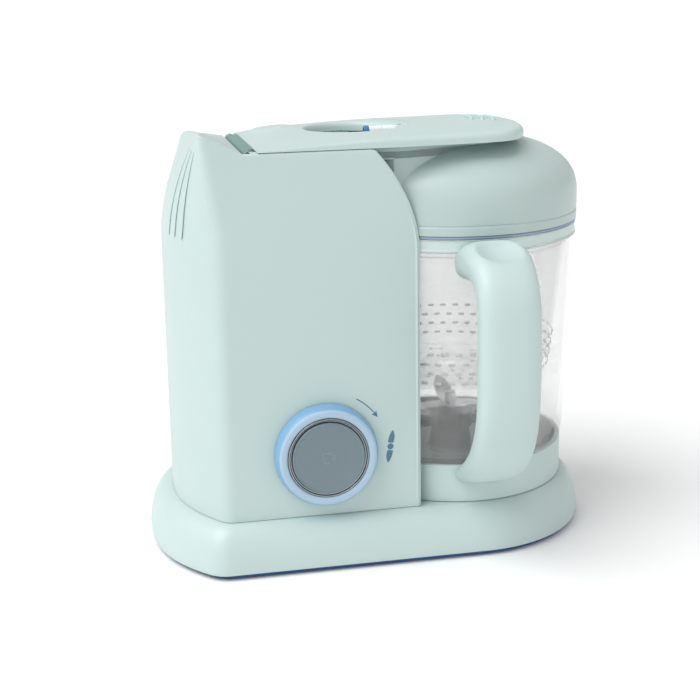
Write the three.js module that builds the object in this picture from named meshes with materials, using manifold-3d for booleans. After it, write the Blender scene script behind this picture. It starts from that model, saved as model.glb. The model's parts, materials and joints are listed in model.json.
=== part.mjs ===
// Baby food maker: a steam-and-blend machine with a mint tower, a flared base,
// a clear jug with a front handle and a hinged lid under a wide top lever.
// Millimetres, +Z up. +X points from the tower to the jug, the front faces -Y and
// the origin is the centre of the base's footprint on the table.
import * as THREE from 'three';
import { mergeVertices } from 'three/addons/utils/BufferGeometryUtils.js';
import Module from 'manifold-3d';

const wasm = await Module();
wasm.setup();

// ---------- driving dimensions ----------
const GAP = 0.3;                 // clearance between pieces that touch
const WALL = 2.5;                // moulded shell wall

const soleZ = 0.8;               // underside of the sole plate, above the feet
const skirtBottomZ = 3.4;
const skirtTopZ = 31;
const deckThickness = 3;
const skirtHalfDepth = 83.6;     // at the bottom edge
const skirtLeftX = -140;
const skirtRightRadius = 82.5;   // about the jug axis

const towerHalfDepth = 70;
const towerBottomZ = skirtTopZ + GAP;
const towerCornerX = -99;        // front-left crease
const towerLeftX = -125.3;       // middle of the bulged end
const towerTopZ = 250;
const cheekInnerY = 60.3;        // the side walls above the tower deck start here
const earLeftX = -82.8;          // right edge of the raised ear
const wellLeftX = -81.5;
const deckZ = 240;
const seamY = -4;                // front shell and rear shell part here

const jugX = 57.5;
const recessRadius = 79.4;       // concave right side of the tower, about the jug axis
const lidRadius = 78.8;
const collarRadius = 71;
const collarTopZ = 54.8;
const bowlTopZ = 187.7;
const rimTopZ = 195.6;

const hinge = { x: -77.5, z: 247 };
const pinRadius = 1.6;
const noseRadius = 3.3;
const leverBottomZ = 250.3;
const fingerHole = { x: -8, y: -4, r: 27.5 };
const latch = { z: 253.1, r: 2.9, bore: 1.6 };
const tank = { x: -53.5, r: 23, outer: 25, mouth: 17.5, neck: 20 };
const roundSides = 36;           // facets of the jug, lid and collar

const knob = { x: -38.7, z: 70.1, outer: 31.2, front: 28.7, bore: 24.5, reach: 9.5 };
const motor = { x: -68, r: 30, bottomZ: 62, topZ: 122, shaft: 3 };
const spindleShaft = 4;
const motorPulleyRadius = 10;
const spindlePulleyRadius = 20;
const beltZ = { low: 12, high: 21 };

// ---------- materials ----------
function finish(color, roughness, metalness = 0, opacity = 1) {
  return new THREE.MeshStandardMaterial({ color, roughness, metalness, opacity, transparent: opacity < 1 });
}
const mint = finish('#c5d8d4', 0.42);
const mintDark = finish('#9fb8b4', 0.5);
const navy = finish('#28508a', 0.55);
const rubber = finish('#2b2f36', 0.85);
const slate = finish('#76899a', 0.4);
const periwinkle = finish('#a9c3dc', 0.4);
const clear = finish('#e8eef0', 0.08, 0, 0.35);
const frosted = finish('#d3e2df', 0.3);
const steel = finish('#b9bdc2', 0.28, 1);
const chrome = finish('#d6d9dd', 0.12, 1);
const black = finish('#26282c', 0.45);
const white = finish('#f2f3f4', 0.35);
const boardGreen = finish('#2f6f4a', 0.5);
const copper = finish('#b87333', 0.35, 1);
const silicone = finish('#5d7488', 0.7);

// ---------- solids ----------
function signedVolume(vertices, triangles) {
  let volume = 0;
  const corner = (i) => new THREE.Vector3().fromArray(vertices, 3 * i);
  for (let i = 0; i < triangles.length; i += 3) {
    const [a, b, c] = [corner(triangles[i]), corner(triangles[i + 1]), corner(triangles[i + 2])];
    volume += a.dot(b.cross(c)) / 6;
  }
  return volume;
}

function toSolid(geometry) {
  const bare = geometry.clone();
  bare.deleteAttribute('normal');
  bare.deleteAttribute('uv');
  const merged = mergeVertices(bare, 1e-3);
  const vertices = merged.attributes.position.array;
  const triangles = [];
  const index = merged.index.array;
  for (let i = 0; i < index.length; i += 3) {
    const [a, b, c] = [index[i], index[i + 1], index[i + 2]];
    if (a !== b && b !== c && c !== a) triangles.push(a, b, c);
  }
  if (signedVolume(vertices, triangles) < 0) triangles.reverse();
  return new wasm.Manifold(new wasm.Mesh({
    numProp: 3,
    vertProperties: new Float32Array(vertices),
    triVerts: new Uint32Array(triangles),
  }));
}

function toGeometry(solid) {
  const mesh = solid.getMesh();
  const geometry = new THREE.BufferGeometry();
  geometry.setAttribute('position', new THREE.BufferAttribute(mesh.vertProperties, 3));
  geometry.setIndex(new THREE.BufferAttribute(mesh.triVerts, 1));
  return geometry;
}

function join(first, ...rest) {
  return rest.reduce((sum, solid) => sum.add(solid), first);
}

function cut(first, ...rest) {
  return rest.reduce((left, solid) => left.subtract(solid), first);
}

function box(x0, x1, y0, y1, z0, z1) {
  const geometry = new THREE.BoxGeometry(x1 - x0, y1 - y0, z1 - z0);
  geometry.translate((x0 + x1) / 2, (y0 + y1) / 2, (z0 + z1) / 2);
  return toSolid(geometry);
}

function roundZ(radius, z0, z1, x = 0, y = 0, sides = 24) {
  const geometry = new THREE.CylinderGeometry(radius, radius, z1 - z0, sides);
  geometry.rotateX(Math.PI / 2);
  geometry.translate(x, y, (z0 + z1) / 2);
  return toSolid(geometry);
}

function roundY(radius, y0, y1, x = 0, z = 0, sides = 24) {
  const geometry = new THREE.CylinderGeometry(radius, radius, y1 - y0, sides);
  geometry.translate(x, (y0 + y1) / 2, z);
  return toSolid(geometry);
}

function roundX(radius, x0, x1, y = 0, z = 0, sides = 16) {
  const geometry = new THREE.CylinderGeometry(radius, radius, x1 - x0, sides);
  geometry.rotateZ(Math.PI / 2);
  geometry.translate((x0 + x1) / 2, y, z);
  return toSolid(geometry);
}

// A profile of [radius, height] points turned about +Z; it closes on itself unless both ends are on the axis.
function turned(profile, sides = 48) {
  const points = profile.map(([r, z]) => new THREE.Vector2(r, z));
  const onAxis = profile[0][0] === 0 && profile[profile.length - 1][0] === 0;
  if (!onAxis) points.push(points[0].clone());
  const geometry = new THREE.LatheGeometry(points, sides);
  geometry.rotateX(Math.PI / 2);
  return toSolid(geometry);
}

function ringZ(inner, outer, z0, z1, sides = 48) {
  return turned([[inner, z0], [outer, z0], [outer, z1], [inner, z1]], sides);
}

// An outline of [x, y] points, with optional holes, raised from z0 to z1.
function plate(outline, z0, z1, holes = []) {
  const toPath = (points) => new THREE.Shape(points.map(([x, y]) => new THREE.Vector2(x, y)));
  const shape = toPath(outline);
  shape.holes = holes.map(toPath);
  const geometry = new THREE.ExtrudeGeometry(shape, { depth: z1 - z0, bevelEnabled: false });
  geometry.translate(0, 0, z0);
  return toSolid(geometry);
}

// Closed loops of equal length, joined in order and capped at both ends.
function loft(loops, flatten) {
  const count = loops[0].length;
  const positions = loops.flat().flatMap((p) => p.toArray());
  const index = [];
  for (let k = 0; k + 1 < loops.length; k += 1) {
    for (let i = 0; i < count; i += 1) {
      const a = k * count + i;
      const b = k * count + (i + 1) % count;
      index.push(a, b, b + count, a, b + count, a + count);
    }
  }
  const capOf = (loop) => {
    const flat = loop.map(flatten);
    const turns = THREE.ShapeUtils.isClockWise(flat) ? -1 : 1;
    return THREE.ShapeUtils.triangulateShape(flat, []).map(([a, b, c]) => (turns > 0 ? [a, b, c] : [c, b, a]));
  };
  const lastStart = (loops.length - 1) * count;
  for (const [a, b, c] of capOf(loops[0])) index.push(c, b, a);
  for (const [a, b, c] of capOf(loops[loops.length - 1])) index.push(lastStart + a, lastStart + b, lastStart + c);
  const geometry = new THREE.BufferGeometry();
  geometry.setAttribute('position', new THREE.Float32BufferAttribute(positions, 3));
  geometry.setIndex(index);
  return toSolid(geometry);
}
const seenFromAbove = (p) => new THREE.Vector2(p.x, p.y);
const seenAlongX = (p) => new THREE.Vector2(p.y, p.z);

function rod(points, radius, sides, steps) {
  const curve = new THREE.CatmullRomCurve3(points.map((p) => new THREE.Vector3(...p)));
  const section = new THREE.Shape();
  for (let i = 0; i < sides; i += 1) {
    const angle = (2 * Math.PI * i) / sides;
    const [x, y] = [radius * Math.cos(angle), radius * Math.sin(angle)];
    if (i === 0) section.moveTo(x, y);
    else section.lineTo(x, y);
  }
  section.closePath();
  const options = { steps, bevelEnabled: false, extrudePath: curve };
  return toSolid(new THREE.ExtrudeGeometry(section, options));
}

function addPiece(parent, name, solid, material) {
  const mesh = new THREE.Mesh(toGeometry(solid), material);
  mesh.name = name;
  parent.add(mesh);
  return mesh;
}

function group(parent, x, y, z) {
  const made = new THREE.Group();
  made.position.set(x, y, z);
  parent.add(made);
  return made;
}

const lerp = THREE.MathUtils.lerp;

function arcPoints(cx, cy, radius, from, to, steps) {
  const points = [];
  for (let i = 0; i <= steps; i += 1) {
    const angle = lerp(from, to, i / steps);
    points.push([cx + radius * Math.cos(angle), cy + radius * Math.sin(angle)]);
  }
  return points;
}

// ---------- shared surfaces ----------
// The top of the tower and of everything on it falls away behind this line.
const dropStartY = 25;
function rearDrop(y) {
  return 0.0069 * Math.max(0, y - dropStartY) ** 2;
}

// The ear rises from its right edge to a ridge on the left, high at the front and fading to the rear.
function earHeight(x, y) {
  const across = Math.min(1, Math.max(0, (y + towerHalfDepth) / (2 * towerHalfDepth)));
  const slope = 0.5 * (1 - across ** 2) ** 1.6;
  return towerTopZ - rearDrop(y) + slope * (earLeftX - x);
}

// The plan outline of the bulged left end: from the rear corner round to the front corner.
function bulgedEnd(cornerX, middleX, halfDepth, power, steps) {
  const points = [];
  for (let i = 0; i <= steps; i += 1) {
    const y = halfDepth * Math.cos((Math.PI * i) / steps);
    const across = Math.abs(y / halfDepth) ** power;
    points.push([lerp(middleX, cornerX, across), y]);
  }
  return points;
}

function towerLoop(z, inset) {
  const rise = Math.max(0, z - 189);
  const depth = towerHalfDepth - inset;
  const cheek = cheekInnerY - inset;
  const radius = recessRadius + inset;
  const onRecess = (y) => jugX - Math.sqrt(radius ** 2 - y ** 2);
  const rightX = Math.min(onRecess(depth), 20 - 1.4 * inset - 0.0072 * rise ** 2);
  const cornerX = towerCornerX + inset - 0.165 * Math.max(0, z - 206);
  const middleX = towerLeftX + inset + 0.0047 * Math.max(0, z - 190) ** 2;
  const reach = Math.sqrt(Math.max(400, radius ** 2 - (jugX - rightX) ** 2));
  const half = Math.asin(Math.min(cheek, reach) / radius);
  const points = [
    [rightX, -depth],
    ...arcPoints(jugX, 0, radius, Math.PI + half, Math.PI - half, 12),
    [rightX, depth],
    ...bulgedEnd(cornerX, middleX, depth, 2.2, 12),
  ];
  return points.map(([x, y]) => new THREE.Vector3(x, y, z));
}

function towerBlock(levels, inset) {
  return loft(levels.map((z) => towerLoop(z, inset)), seenFromAbove);
}

// A solid that fills everything above a height field on a grid.
function above(xs, ys, height) {
  const topZ = 300;
  const bottom = [];
  for (const x of xs) {
    for (const y of ys) bottom.push([x, y, height(x, y)]);
  }
  const count = bottom.length;
  const positions = [...bottom, ...bottom.map(([x, y]) => [x, y, topZ])].flat();
  const rows = ys.length;
  const index = [];
  for (let i = 0; i + 1 < xs.length; i += 1) {
    for (let j = 0; j + 1 < rows; j += 1) {
      const a = i * rows + j;
      const quad = [a, a + 1, a + rows + 1, a, a + rows + 1, a + rows];
      index.push(...quad, ...quad.map((v) => v + count).reverse());
    }
  }
  const edge = [];
  for (let i = 0; i + 1 < xs.length; i += 1) edge.push(i * rows);
  for (let j = 0; j + 1 < rows; j += 1) edge.push((xs.length - 1) * rows + j);
  for (let i = xs.length - 1; i > 0; i -= 1) edge.push(i * rows + rows - 1);
  for (let j = rows - 1; j > 0; j -= 1) edge.push(j);
  edge.forEach((a, k) => {
    const b = edge[(k + 1) % edge.length];
    index.push(a, b, b + count, a, b + count, a + count);
  });
  const geometry = new THREE.BufferGeometry();
  geometry.setAttribute('position', new THREE.Float32BufferAttribute(positions, 3));
  geometry.setIndex(index);
  return toSolid(geometry);
}

const acrossTop = [-90, -70, -50, -30, -10, 8, 25, 34, 43, 52, 61, 70, 90];
const rearTopYs = [-90, 25, 34, 43, 52, 61, 70, 90];

function aboveRear(level, x0, x1) {
  return above([x0, x1], rearTopYs, (x, y) => level - rearDrop(y));
}

// ---------- base ----------
function skirtLoop(flare, inset, z) {
  const halfDepth = lerp(towerHalfDepth, skirtHalfDepth, flare) - inset;
  const radius = lerp(towerHalfDepth, skirtRightRadius, flare) - inset;
  const cornerX = lerp(towerCornerX, -106.5, flare) + inset;
  const middleX = lerp(towerLeftX, skirtLeftX, flare) + inset;
  const round = arcPoints(jugX, 0, radius, -Math.PI / 2, Math.PI / 2, 16);
  const squash = halfDepth / radius;
  const points = [
    ...round.map(([x, y]) => [x, y * squash]),
    ...bulgedEnd(cornerX, middleX, halfDepth, lerp(2.2, 2.6, flare), 10),
  ];
  return points.map(([x, y]) => new THREE.Vector3(x, y, z));
}

function flareAt(z) {
  const up = (z - skirtBottomZ) / (skirtTopZ - skirtBottomZ);
  return Math.sqrt(Math.max(0, 1 - up ** 2));
}

function flaredBlock(levels, inset) {
  return loft(levels.map((z) => skirtLoop(flareAt(z), inset, z)), seenFromAbove);
}

const bossPlaces = [[-108, -40], [-108, 40], [62, -66], [62, 66]];
const towerBossPlaces = [[-90, -64], [-90, 64], [-5, -64], [-5, 64]];
const cavityTopZ = skirtTopZ - deckThickness;

function baseSkirt() {
  const outer = flaredBlock([skirtBottomZ, 12, 20, 26, 29.6, skirtTopZ], 0);
  const inner = flaredBlock([skirtBottomZ - 1, 12, 20, 26, cavityTopZ], WALL);
  const bosses = bossPlaces.map(([x, y]) => cut(
    roundZ(5, skirtBottomZ + 0.4, cavityTopZ + 1, x, y, 12),
    roundZ(1.9, skirtBottomZ, 18, x, y, 8),
  ));
  const holes = [
    roundZ(12, 20, 40, jugX, 0, 24),
    box(-100, -34, -36, 36, 20, 40),
    ...towerBossPlaces.map(([x, y]) => roundZ(2, 20, 40, x, y, 8)),
  ];
  return cut(join(cut(outer, inner), ...bosses), ...holes);
}

const footPlaces = {
  foot_front_left: [-96, -62],
  foot_front_right: [78, -58],
  foot_rear_left: [-96, 62],
  foot_rear_right: [78, 58],
};

function baseSole() {
  const loops = [[soleZ, 3.2], [skirtBottomZ - GAP, 2]].map(([z, inset]) => skirtLoop(1, inset, z));
  const slab = loft(loops, seenFromAbove);
  const footPockets = Object.values(footPlaces).map(([x, y]) => roundZ(9.3, 0, 2.1, x, y, 16));
  const screwHoles = bossPlaces.flatMap(([x, y]) => [
    roundZ(2, 0, 5, x, y, 10),
    roundZ(3.6, 0, 2.0, x, y, 12),
  ]);
  const vents = [-44, -30, -16, -2].map((x) => box(x - 2.2, x + 2.2, 30, 56, 0, 5));
  return cut(slab, ...footPockets, ...screwHoles, ...vents);
}

function screw(headRadius, shankRadius, headHeight, length) {
  const head = roundZ(headRadius, 0, headHeight, 0, 0, 12);
  return join(head, roundZ(shankRadius, 0, length, 0, 0, 8));
}

function jugSeat() {
  const ring = ringZ(40, 46, skirtTopZ + GAP, 36, 24);
  const lugs = [0, 1, 2].map((i) => {
    const angle = (2 * Math.PI * i) / 3 + Math.PI / 6;
    return roundZ(4, 32, 35.5, 46 * Math.cos(angle), 46 * Math.sin(angle), 10);
  });
  return join(ring, ...lugs);
}

function buildBase(parent) {
  addPiece(parent, 'base_skirt', baseSkirt(), mint);
  addPiece(parent, 'base_sole', baseSole(), navy);
  for (const [name, [x, y]] of Object.entries(footPlaces)) {
    addPiece(group(parent, x, y, 0), name, roundZ(9, 0, 1.8, 0, 0, 16), rubber);
  }
  bossPlaces.forEach(([x, y], i) => {
    addPiece(group(parent, x, y, 1), `base_screw_${i + 1}`, screw(3.2, 1.6, 0.8, 14), steel);
  });
  addPiece(group(parent, jugX, 0, 0), 'jug_seat', jugSeat(), mintDark);
}

// ---------- tower ----------
const towerLevels = [towerBottomZ, 120, 189, 200, 212, 224, 236, 246, 256, 268];

function towerCavity() {
  const inside = towerBlock([towerBottomZ - 1, 189, 200, 212, 224, 236], WALL);
  const well = box(wellLeftX, 80, -cheekInnerY, cheekInnerY, 235, 290);
  return join(inside, well);
}

function towerBody() {
  const block = towerBlock(towerLevels, 0);
  const overFlat = aboveRear(towerTopZ, earLeftX, 80);
  const overEar = above([-150, -120, -100, earLeftX], acrossTop, earHeight);
  const groove = box(earLeftX, -78.2, -68.4, 90, 246.5, 290);
  const bosses = towerBossPlaces.map(([x, y]) => cut(
    roundZ(4.2, towerBottomZ, 58, x, y, 12),
    roundZ(1.9, towerBottomZ - 1, 48, x, y, 8),
  ));
  const bezelHole = roundY(knob.bore + GAP, -90, -60, knob.x, knob.z, 40);
  const pinHole = roundY(pinRadius + GAP, -66, 0, hinge.x, hinge.z, 12);
  const shell = cut(block, towerCavity(), overFlat, overEar, groove);
  return cut(join(shell, ...bosses), bezelHole, pinHole);
}

const leadHole = { x: -70, z: 44, r: 6 };

function towerShells() {
  const body = towerBody();
  const front = cut(body, box(-150, 80, seamY - GAP / 2, 100, 0, 300));
  const vents = [-92, -84, -76, -68].map((x) => box(x - 1.8, x + 1.8, 60, 80, 90, 130));
  const leadOutlet = roundY(leadHole.r, 60, 80, leadHole.x, leadHole.z, 16);
  const rear = cut(body, box(-150, 80, -100, seamY + GAP / 2, 0, 300), ...vents, leadOutlet);
  return { front, rear };
}

function towerDeck() {
  const slab = box(wellLeftX + GAP, 1, GAP - cheekInnerY, cheekInnerY - GAP, 236 + GAP, deckZ);
  const lug = join(
    box(hinge.x - 3.2, hinge.x + 3.2, 30.3, 36, deckZ - 1, hinge.z),
    roundY(3.2, 30.3, 36, hinge.x, hinge.z, 16),
  );
  const cuts = [
    roundZ(recessRadius + 0.6, 200, 300, jugX, 0, 48),
    roundZ(tank.neck + 1.2, 200, 300, tank.x, 0, 28),
    roundY(pinRadius + GAP, 20, 50, hinge.x, hinge.z, 12),
  ];
  return cut(join(slab, lug), ...cuts);
}

function leadGland() {
  const body = roundY(leadHole.r - GAP, 66, 72, 0, 0, 16);
  const flange = roundY(8.5, towerHalfDepth + GAP, 73.5, 0, 0, 20);
  return cut(join(body, flange), roundY(3.6, 60, 80, 0, 0, 12));
}

function buildTower(parent) {
  const shells = towerShells();
  addPiece(parent, 'tower_front_shell', shells.front, mint);
  addPiece(parent, 'tower_rear_shell', shells.rear, mint);
  addPiece(parent, 'tower_deck', towerDeck(), mintDark);
  addPiece(group(parent, leadHole.x, 0, leadHole.z), 'lead_gland', leadGland(), black);
  towerBossPlaces.forEach(([x, y], i) => {
    const place = group(parent, x, y, cavityTopZ - 2.2);
    addPiece(place, `tower_screw_${i + 1}`, screw(3.6, 1.6, 1.9, 20), steel);
  });
}

// ---------- boiler ----------
function waterTank() {
  const { r, outer, mouth, neck } = tank;
  return turned([
    [0, 158], [r, 158], [outer, 160], [outer, 224], [neck, 231], [neck, 237], [mouth, 237],
    [mouth, 230], [r, 223], [r, 163], [r - 3, 160.5], [0, 160.5],
  ], 24);
}

function heaterPlate() {
  const element = turned([[14, 153.4], [15, 148.4], [19, 148.4], [20, 153.4]], 20);
  return join(ringZ(7, 22.5, 153, 157.7, 20), element);
}

function buildBoiler(parent) {
  const place = group(parent, tank.x, 0, 0);
  addPiece(place, 'water_tank', waterTank(), steel);
  addPiece(place, 'heater_plate', heaterPlate(), steel);
  addPiece(place, 'thermostat', roundZ(6.2, 146, 157.7, 0, 0, 16), copper);
  addPiece(parent, 'control_board', box(-98, -34, 48, 49.6, 60, 128), boardGreen);
}

// ---------- drive ----------
function motorCan() {
  const inner = motor.shaft + GAP;
  return turned([
    [inner, motor.bottomZ - 4], [9, motor.bottomZ - 4], [9, motor.bottomZ], [motor.r, motor.bottomZ],
    [motor.r, motor.topZ], [9, motor.topZ], [9, motor.topZ + 3], [inner, motor.topZ + 3],
  ], 24);
}

function motorBracket() {
  const slab = box(-104, -32, -40, 40, skirtTopZ + GAP, 35);
  const posts = [[-1, -1], [-1, 1], [1, -1], [1, 1]].map(([sx, sy]) => {
    const [x, y] = [motor.x + 22 * sx, 22 * sy];
    return roundZ(4, 34, motor.bottomZ - GAP, x, y, 10);
  });
  return cut(join(slab, ...posts), roundZ(16, 20, 50, motor.x, 0, 24));
}

function coolingFan() {
  const blades = [];
  for (let i = 0; i < 6; i += 1) {
    const geometry = new THREE.BoxGeometry(19, 2, 8);
    geometry.rotateX(0.5);
    geometry.translate(15, 0, 0);
    geometry.rotateZ((Math.PI * i) / 3);
    geometry.translate(0, 0, motor.topZ + 10);
    blades.push(toSolid(geometry));
  }
  const hub = ringZ(motor.shaft + GAP, 8, motor.topZ + 5, motor.topZ + 15, 16);
  return cut(join(hub, ...blades), roundZ(motor.shaft + GAP, 100, 160, 0, 0, 16));
}

function driveBelt() {
  const reach = jugX - motor.x;
  const loop = (extra) => {
    const [small, large] = [motorPulleyRadius + extra, spindlePulleyRadius + extra];
    const lean = Math.asin((large - small) / reach);
    const turn = Math.PI / 2;
    return [
      ...arcPoints(jugX, 0, large, -turn - lean, turn + lean, 20),
      ...arcPoints(motor.x, 0, small, turn + lean, 3 * turn - lean, 12),
    ];
  };
  return plate(loop(GAP + 1.6), beltZ.low + 0.5, beltZ.high - 0.5, [loop(GAP)]);
}

function pulley(shaftRadius, radius, sides) {
  const lip = 1.2;
  return turned([
    [shaftRadius + GAP, beltZ.low - lip], [radius + 3, beltZ.low - lip], [radius + 3, beltZ.low],
    [radius, beltZ.low], [radius, beltZ.high], [radius + 3, beltZ.high],
    [radius + 3, beltZ.high + lip], [shaftRadius + GAP, beltZ.high + lip],
  ], sides);
}

// A hub with two opposite lugs, each spanning about 30 degrees.
function dogLugs(inner, outer, z0, z1, turn) {
  return [0, Math.PI].map((side) => {
    const [from, to] = [turn + side - 0.26, turn + side + 0.26];
    const edge = [...arcPoints(0, 0, outer, from, to, 4), ...arcPoints(0, 0, inner, to, from, 2)];
    return plate(edge, z0, z1);
  });
}

function buildDrive(parent) {
  const motorPlace = group(parent, motor.x, 0, 0);
  addPiece(motorPlace, 'motor', motorCan(), steel);
  addPiece(parent, 'motor_bracket', motorBracket(), steel);
  addPiece(motorPlace, 'motor_shaft', roundZ(motor.shaft, 8, 139, 0, 0, 16), steel);
  addPiece(motorPlace, 'motor_pulley', pulley(motor.shaft, motorPulleyRadius, 16), black);
  addPiece(motorPlace, 'cooling_fan', coolingFan(), black);
  addPiece(parent, 'drive_belt', driveBelt(), rubber);
  const spindle = group(parent, jugX, 0, 0);
  const bush = ringZ(spindleShaft + GAP, 11.7, 23.4, skirtTopZ + 0.8, 24);
  addPiece(spindle, 'spindle_bush', bush, copper);
  addPiece(spindle, 'spindle_pulley', pulley(spindleShaft, spindlePulleyRadius, 24), black);
  const dog = join(roundZ(spindleShaft, 7, 36, 0, 0, 16), ringZ(3, 6, 32.2, 36, 16), ...dogLugs(5, 10, 32.2, 36, 0));
  addPiece(spindle, 'drive_spindle', dog, steel);
}

// ---------- knob ----------
function knobRing() {
  const [bore, back] = [knob.bore, GAP];
  const profile = [
    [bore, back], [knob.outer, back], [knob.outer, 2.2], [knob.outer - 0.6, 5.5],
    [knob.front + 0.7, knob.reach - 1], [knob.front - 0.6, knob.reach], [bore + 1.2, knob.reach], [bore, knob.reach - 1],
  ];
  return turned(profile, 36);
}

// Pieces turned about +Z are laid over so that their top faces the front.
function frontFacing(parent) {
  const made = group(parent, knob.x, -towerHalfDepth, knob.z);
  made.rotation.x = Math.PI / 2;
  return made;
}

function buildKnob(parent) {
  const face = frontFacing(parent);
  addPiece(face, 'knob_ring', knobRing(), periwinkle);
  addPiece(face, 'knob_bezel', ringZ(22.1, knob.bore - GAP, -3.5, knob.reach - 0.3, 36), chrome);
  const button = turned([[0, 4.8], [21.7, 4.8], [21.7, 9.3], [20.9, 10], [0, 10]], 32);
  addPiece(face, 'steam_button', button, slate);
  addPiece(face, 'button_spring', ringZ(7, 8.6, -3.2, 4.5, 16), steel);
  const housing = ringZ(9, 21.5, -6.5, -3.8, 24);
  addPiece(face, 'rotary_switch', join(housing, roundZ(15, -22, -3.8, 0, 0, 24)), black);
}

// ---------- internal leads ----------
function buildLeads(parent) {
  const supply = [[-70, 63.5, 44], [-70, 58, 50], [-79, 55, 58], [-84, 54, 66], [-84, 53.5, 76]];
  addPiece(parent, 'supply_lead', rod(supply, 2, 8, 14), black);
  const sensor = [[-40, 46.5, 122], [-38, 38, 130], [-42, 20, 138], [-50, 6, 142], [-53.5, 0, 144.2]];
  addPiece(parent, 'heater_lead', rod(sensor, 1.5, 8, 14), white);
  const control = [[-42, 46.2, 72], [-33, 34, 70], [-32, 5, 66], [-31, -28, 66], [-34, -40, 69], [-38.7, -46.2, 70.1]];
  addPiece(parent, 'switch_lead', rod(control, 1.5, 8, 20), white);
}

// ---------- jug ----------
function jugCollar() {
  return turned([
    [collarRadius - 3, skirtTopZ + GAP], [collarRadius, skirtTopZ + GAP], [collarRadius, collarTopZ],
    [collarRadius - 3, collarTopZ], [collarRadius - 3, 43], [16, 43], [16, 40], [collarRadius - 3, 40],
  ], roundSides);
}

function jugBowl() {
  const foot = collarRadius - 3.4;
  return turned([
    [14, 43.3], [foot, 43.3], [foot, 55.1], [collarRadius, 55.1], [73.2, 75], [78.1, 175], [78.1, bowlTopZ],
    [75.1, bowlTopZ], [75.1, 176], [70, 76], [66, 56], [58, 47], [14, 46],
  ], roundSides);
}

function handleLoops() {
  // Centre line [y, z], half thickness and half width, from the rim down to the collar.
  const stations = [
    [-80.2, 183, 11, 19], [-90, 185.5, 11.5, 19.5], [-103, 184, 10.5, 19], [-114, 178, 9.5, 18],
    [-120.5, 166, 9.5, 18], [-122.5, 146, 9.5, 18], [-122.5, 118, 9.5, 18], [-119.5, 96, 9.5, 18],
    [-110, 77, 9.5, 18], [-97, 64, 8.5, 18], [-84, 56, 7, 17.5], [-72.6, 50, 5, 16.5],
  ];
  return stations.map(([y, z, thick, wide], i) => {
    const before = stations[Math.max(0, i - 1)];
    const after = stations[Math.min(stations.length - 1, i + 1)];
    const along = new THREE.Vector2(after[0] - before[0], after[1] - before[1]).normalize();
    const loop = [];
    for (let k = 0; k < 16; k += 1) {
      const angle = (2 * Math.PI * k) / 16;
      const [c, s] = [Math.cos(angle), Math.sin(angle)];
      const across = wide * Math.sign(c) * Math.abs(c) ** 0.65;
      const out = thick * Math.sign(s) * Math.abs(s) ** 0.65;
      loop.push(new THREE.Vector3(across, y - out * along.y, z + out * along.x));
    }
    return loop;
  });
}

function jugHandle() {
  const bar = loft(handleLoops(), (p) => new THREE.Vector2(p.x, p.z - p.y));
  const bowlSpace = turned([
    [0, 20], [collarRadius + GAP, 20], [collarRadius + GAP, 56], [73.6, 75], [78.6, 175], [78.6, 220], [0, 220],
  ], roundSides);
  const thumb = toSolid(new THREE.SphereGeometry(30, 20, 14).translate(0, -109, 218.8));
  return cut(bar, bowlSpace, thumb);
}

const drainRadius = 9;             // open middle of the basket's floor

function steamBasket() {
  const cup = turned([
    [drainRadius, 98], [58, 98], [61.5, 101], [72.4, 184.3], [74.6, 184.3], [74.6, 186.6], [70.4, 186.6],
    [59.4, 102.4], [57.4, 100.4], [drainRadius, 100.4],
  ], 32);
  const slots = [];
  for (let ring = 1; ring <= 2; ring += 1) {
    for (let i = 0; i < 4 * ring; i += 1) {
      const angle = (Math.PI * i) / (2 * ring);
      const radius = 18 * ring;
      slots.push(roundZ(4, 95, 103, radius * Math.cos(angle), radius * Math.sin(angle), 6));
    }
  }
  return cut(cup, ...slots);
}

// A two-ended cutter whose flat middle sits on the hub and whose ends bend from low to high.
function cutter(low, high, turn) {
  const sheet = 1.4;
  const sections = [
    [-34, -0.5, 1.5], [-20, -5, 6.5], [-13, -5.5, 5.5], [13, -5.5, 5.5], [20, -6.5, 5], [34, -1.5, 0.5],
  ];
  const loops = sections.map(([x, y0, y1]) => {
    const z = lerp(low, high, (Math.abs(x) - 13) / 21);
    return [[y0, z], [y1, z], [y1, z + sheet], [y0, z + sheet]].map(([y, level]) => new THREE.Vector3(x, y, level));
  });
  return cut(loft(loops, seenAlongX), roundZ(3.9, 0, 120, 0, 0, 12)).rotate([0, 0, turn]);
}

// A cap over the housing with two upright wings that carry the lower cutter's ends.
function bladeHub() {
  const cap = turned([
    [3.9, 66.4], [12.4, 66.4], [12.4, 58], [14.4, 58], [14.4, 68.5], [12, 71], [3.9, 71],
  ], 24);
  return join(cap, box(13.2, 31, -3, 3, 58, 65.3), box(-31, -13.2, -3, 3, 58, 65.3));
}

function buildBlade(place) {
  const housing = turned([[4.1, 40.2], [13.5, 40.2], [13.5, 50], [10.5, 66], [4.1, 66]], 24);
  addPiece(place, 'blade_housing', housing, black);
  const coupling = [roundZ(13, 38.2, 39.6, 0, 0, 20), ...dogLugs(6.6, 13, 32, 38.4, Math.PI / 2)];
  addPiece(place, 'blade_shaft', join(roundZ(3.6, 38.4, 80, 0, 0, 12), ...coupling), steel);
  addPiece(place, 'blade_hub', bladeHub(), black);
  addPiece(place, 'blade_lower', cutter(71.3, 66.8, 0), steel);
  addPiece(place, 'blade_upper', cutter(73.3, 80, 90), steel);
}

function buildJug(parent) {
  const place = group(parent, jugX, 0, 0);
  addPiece(place, 'jug_collar', jugCollar(), mint);
  addPiece(place, 'jug_bowl', jugBowl(), clear);
  addPiece(place, 'jug_rim_ring', ringZ(75.3, 78.4, bowlTopZ + GAP, rimTopZ, roundSides), frosted);
  addPiece(place, 'jug_handle', jugHandle(), mint);
  addPiece(place, 'steam_basket', steamBasket(), frosted);
  buildBlade(place);
}

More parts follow.
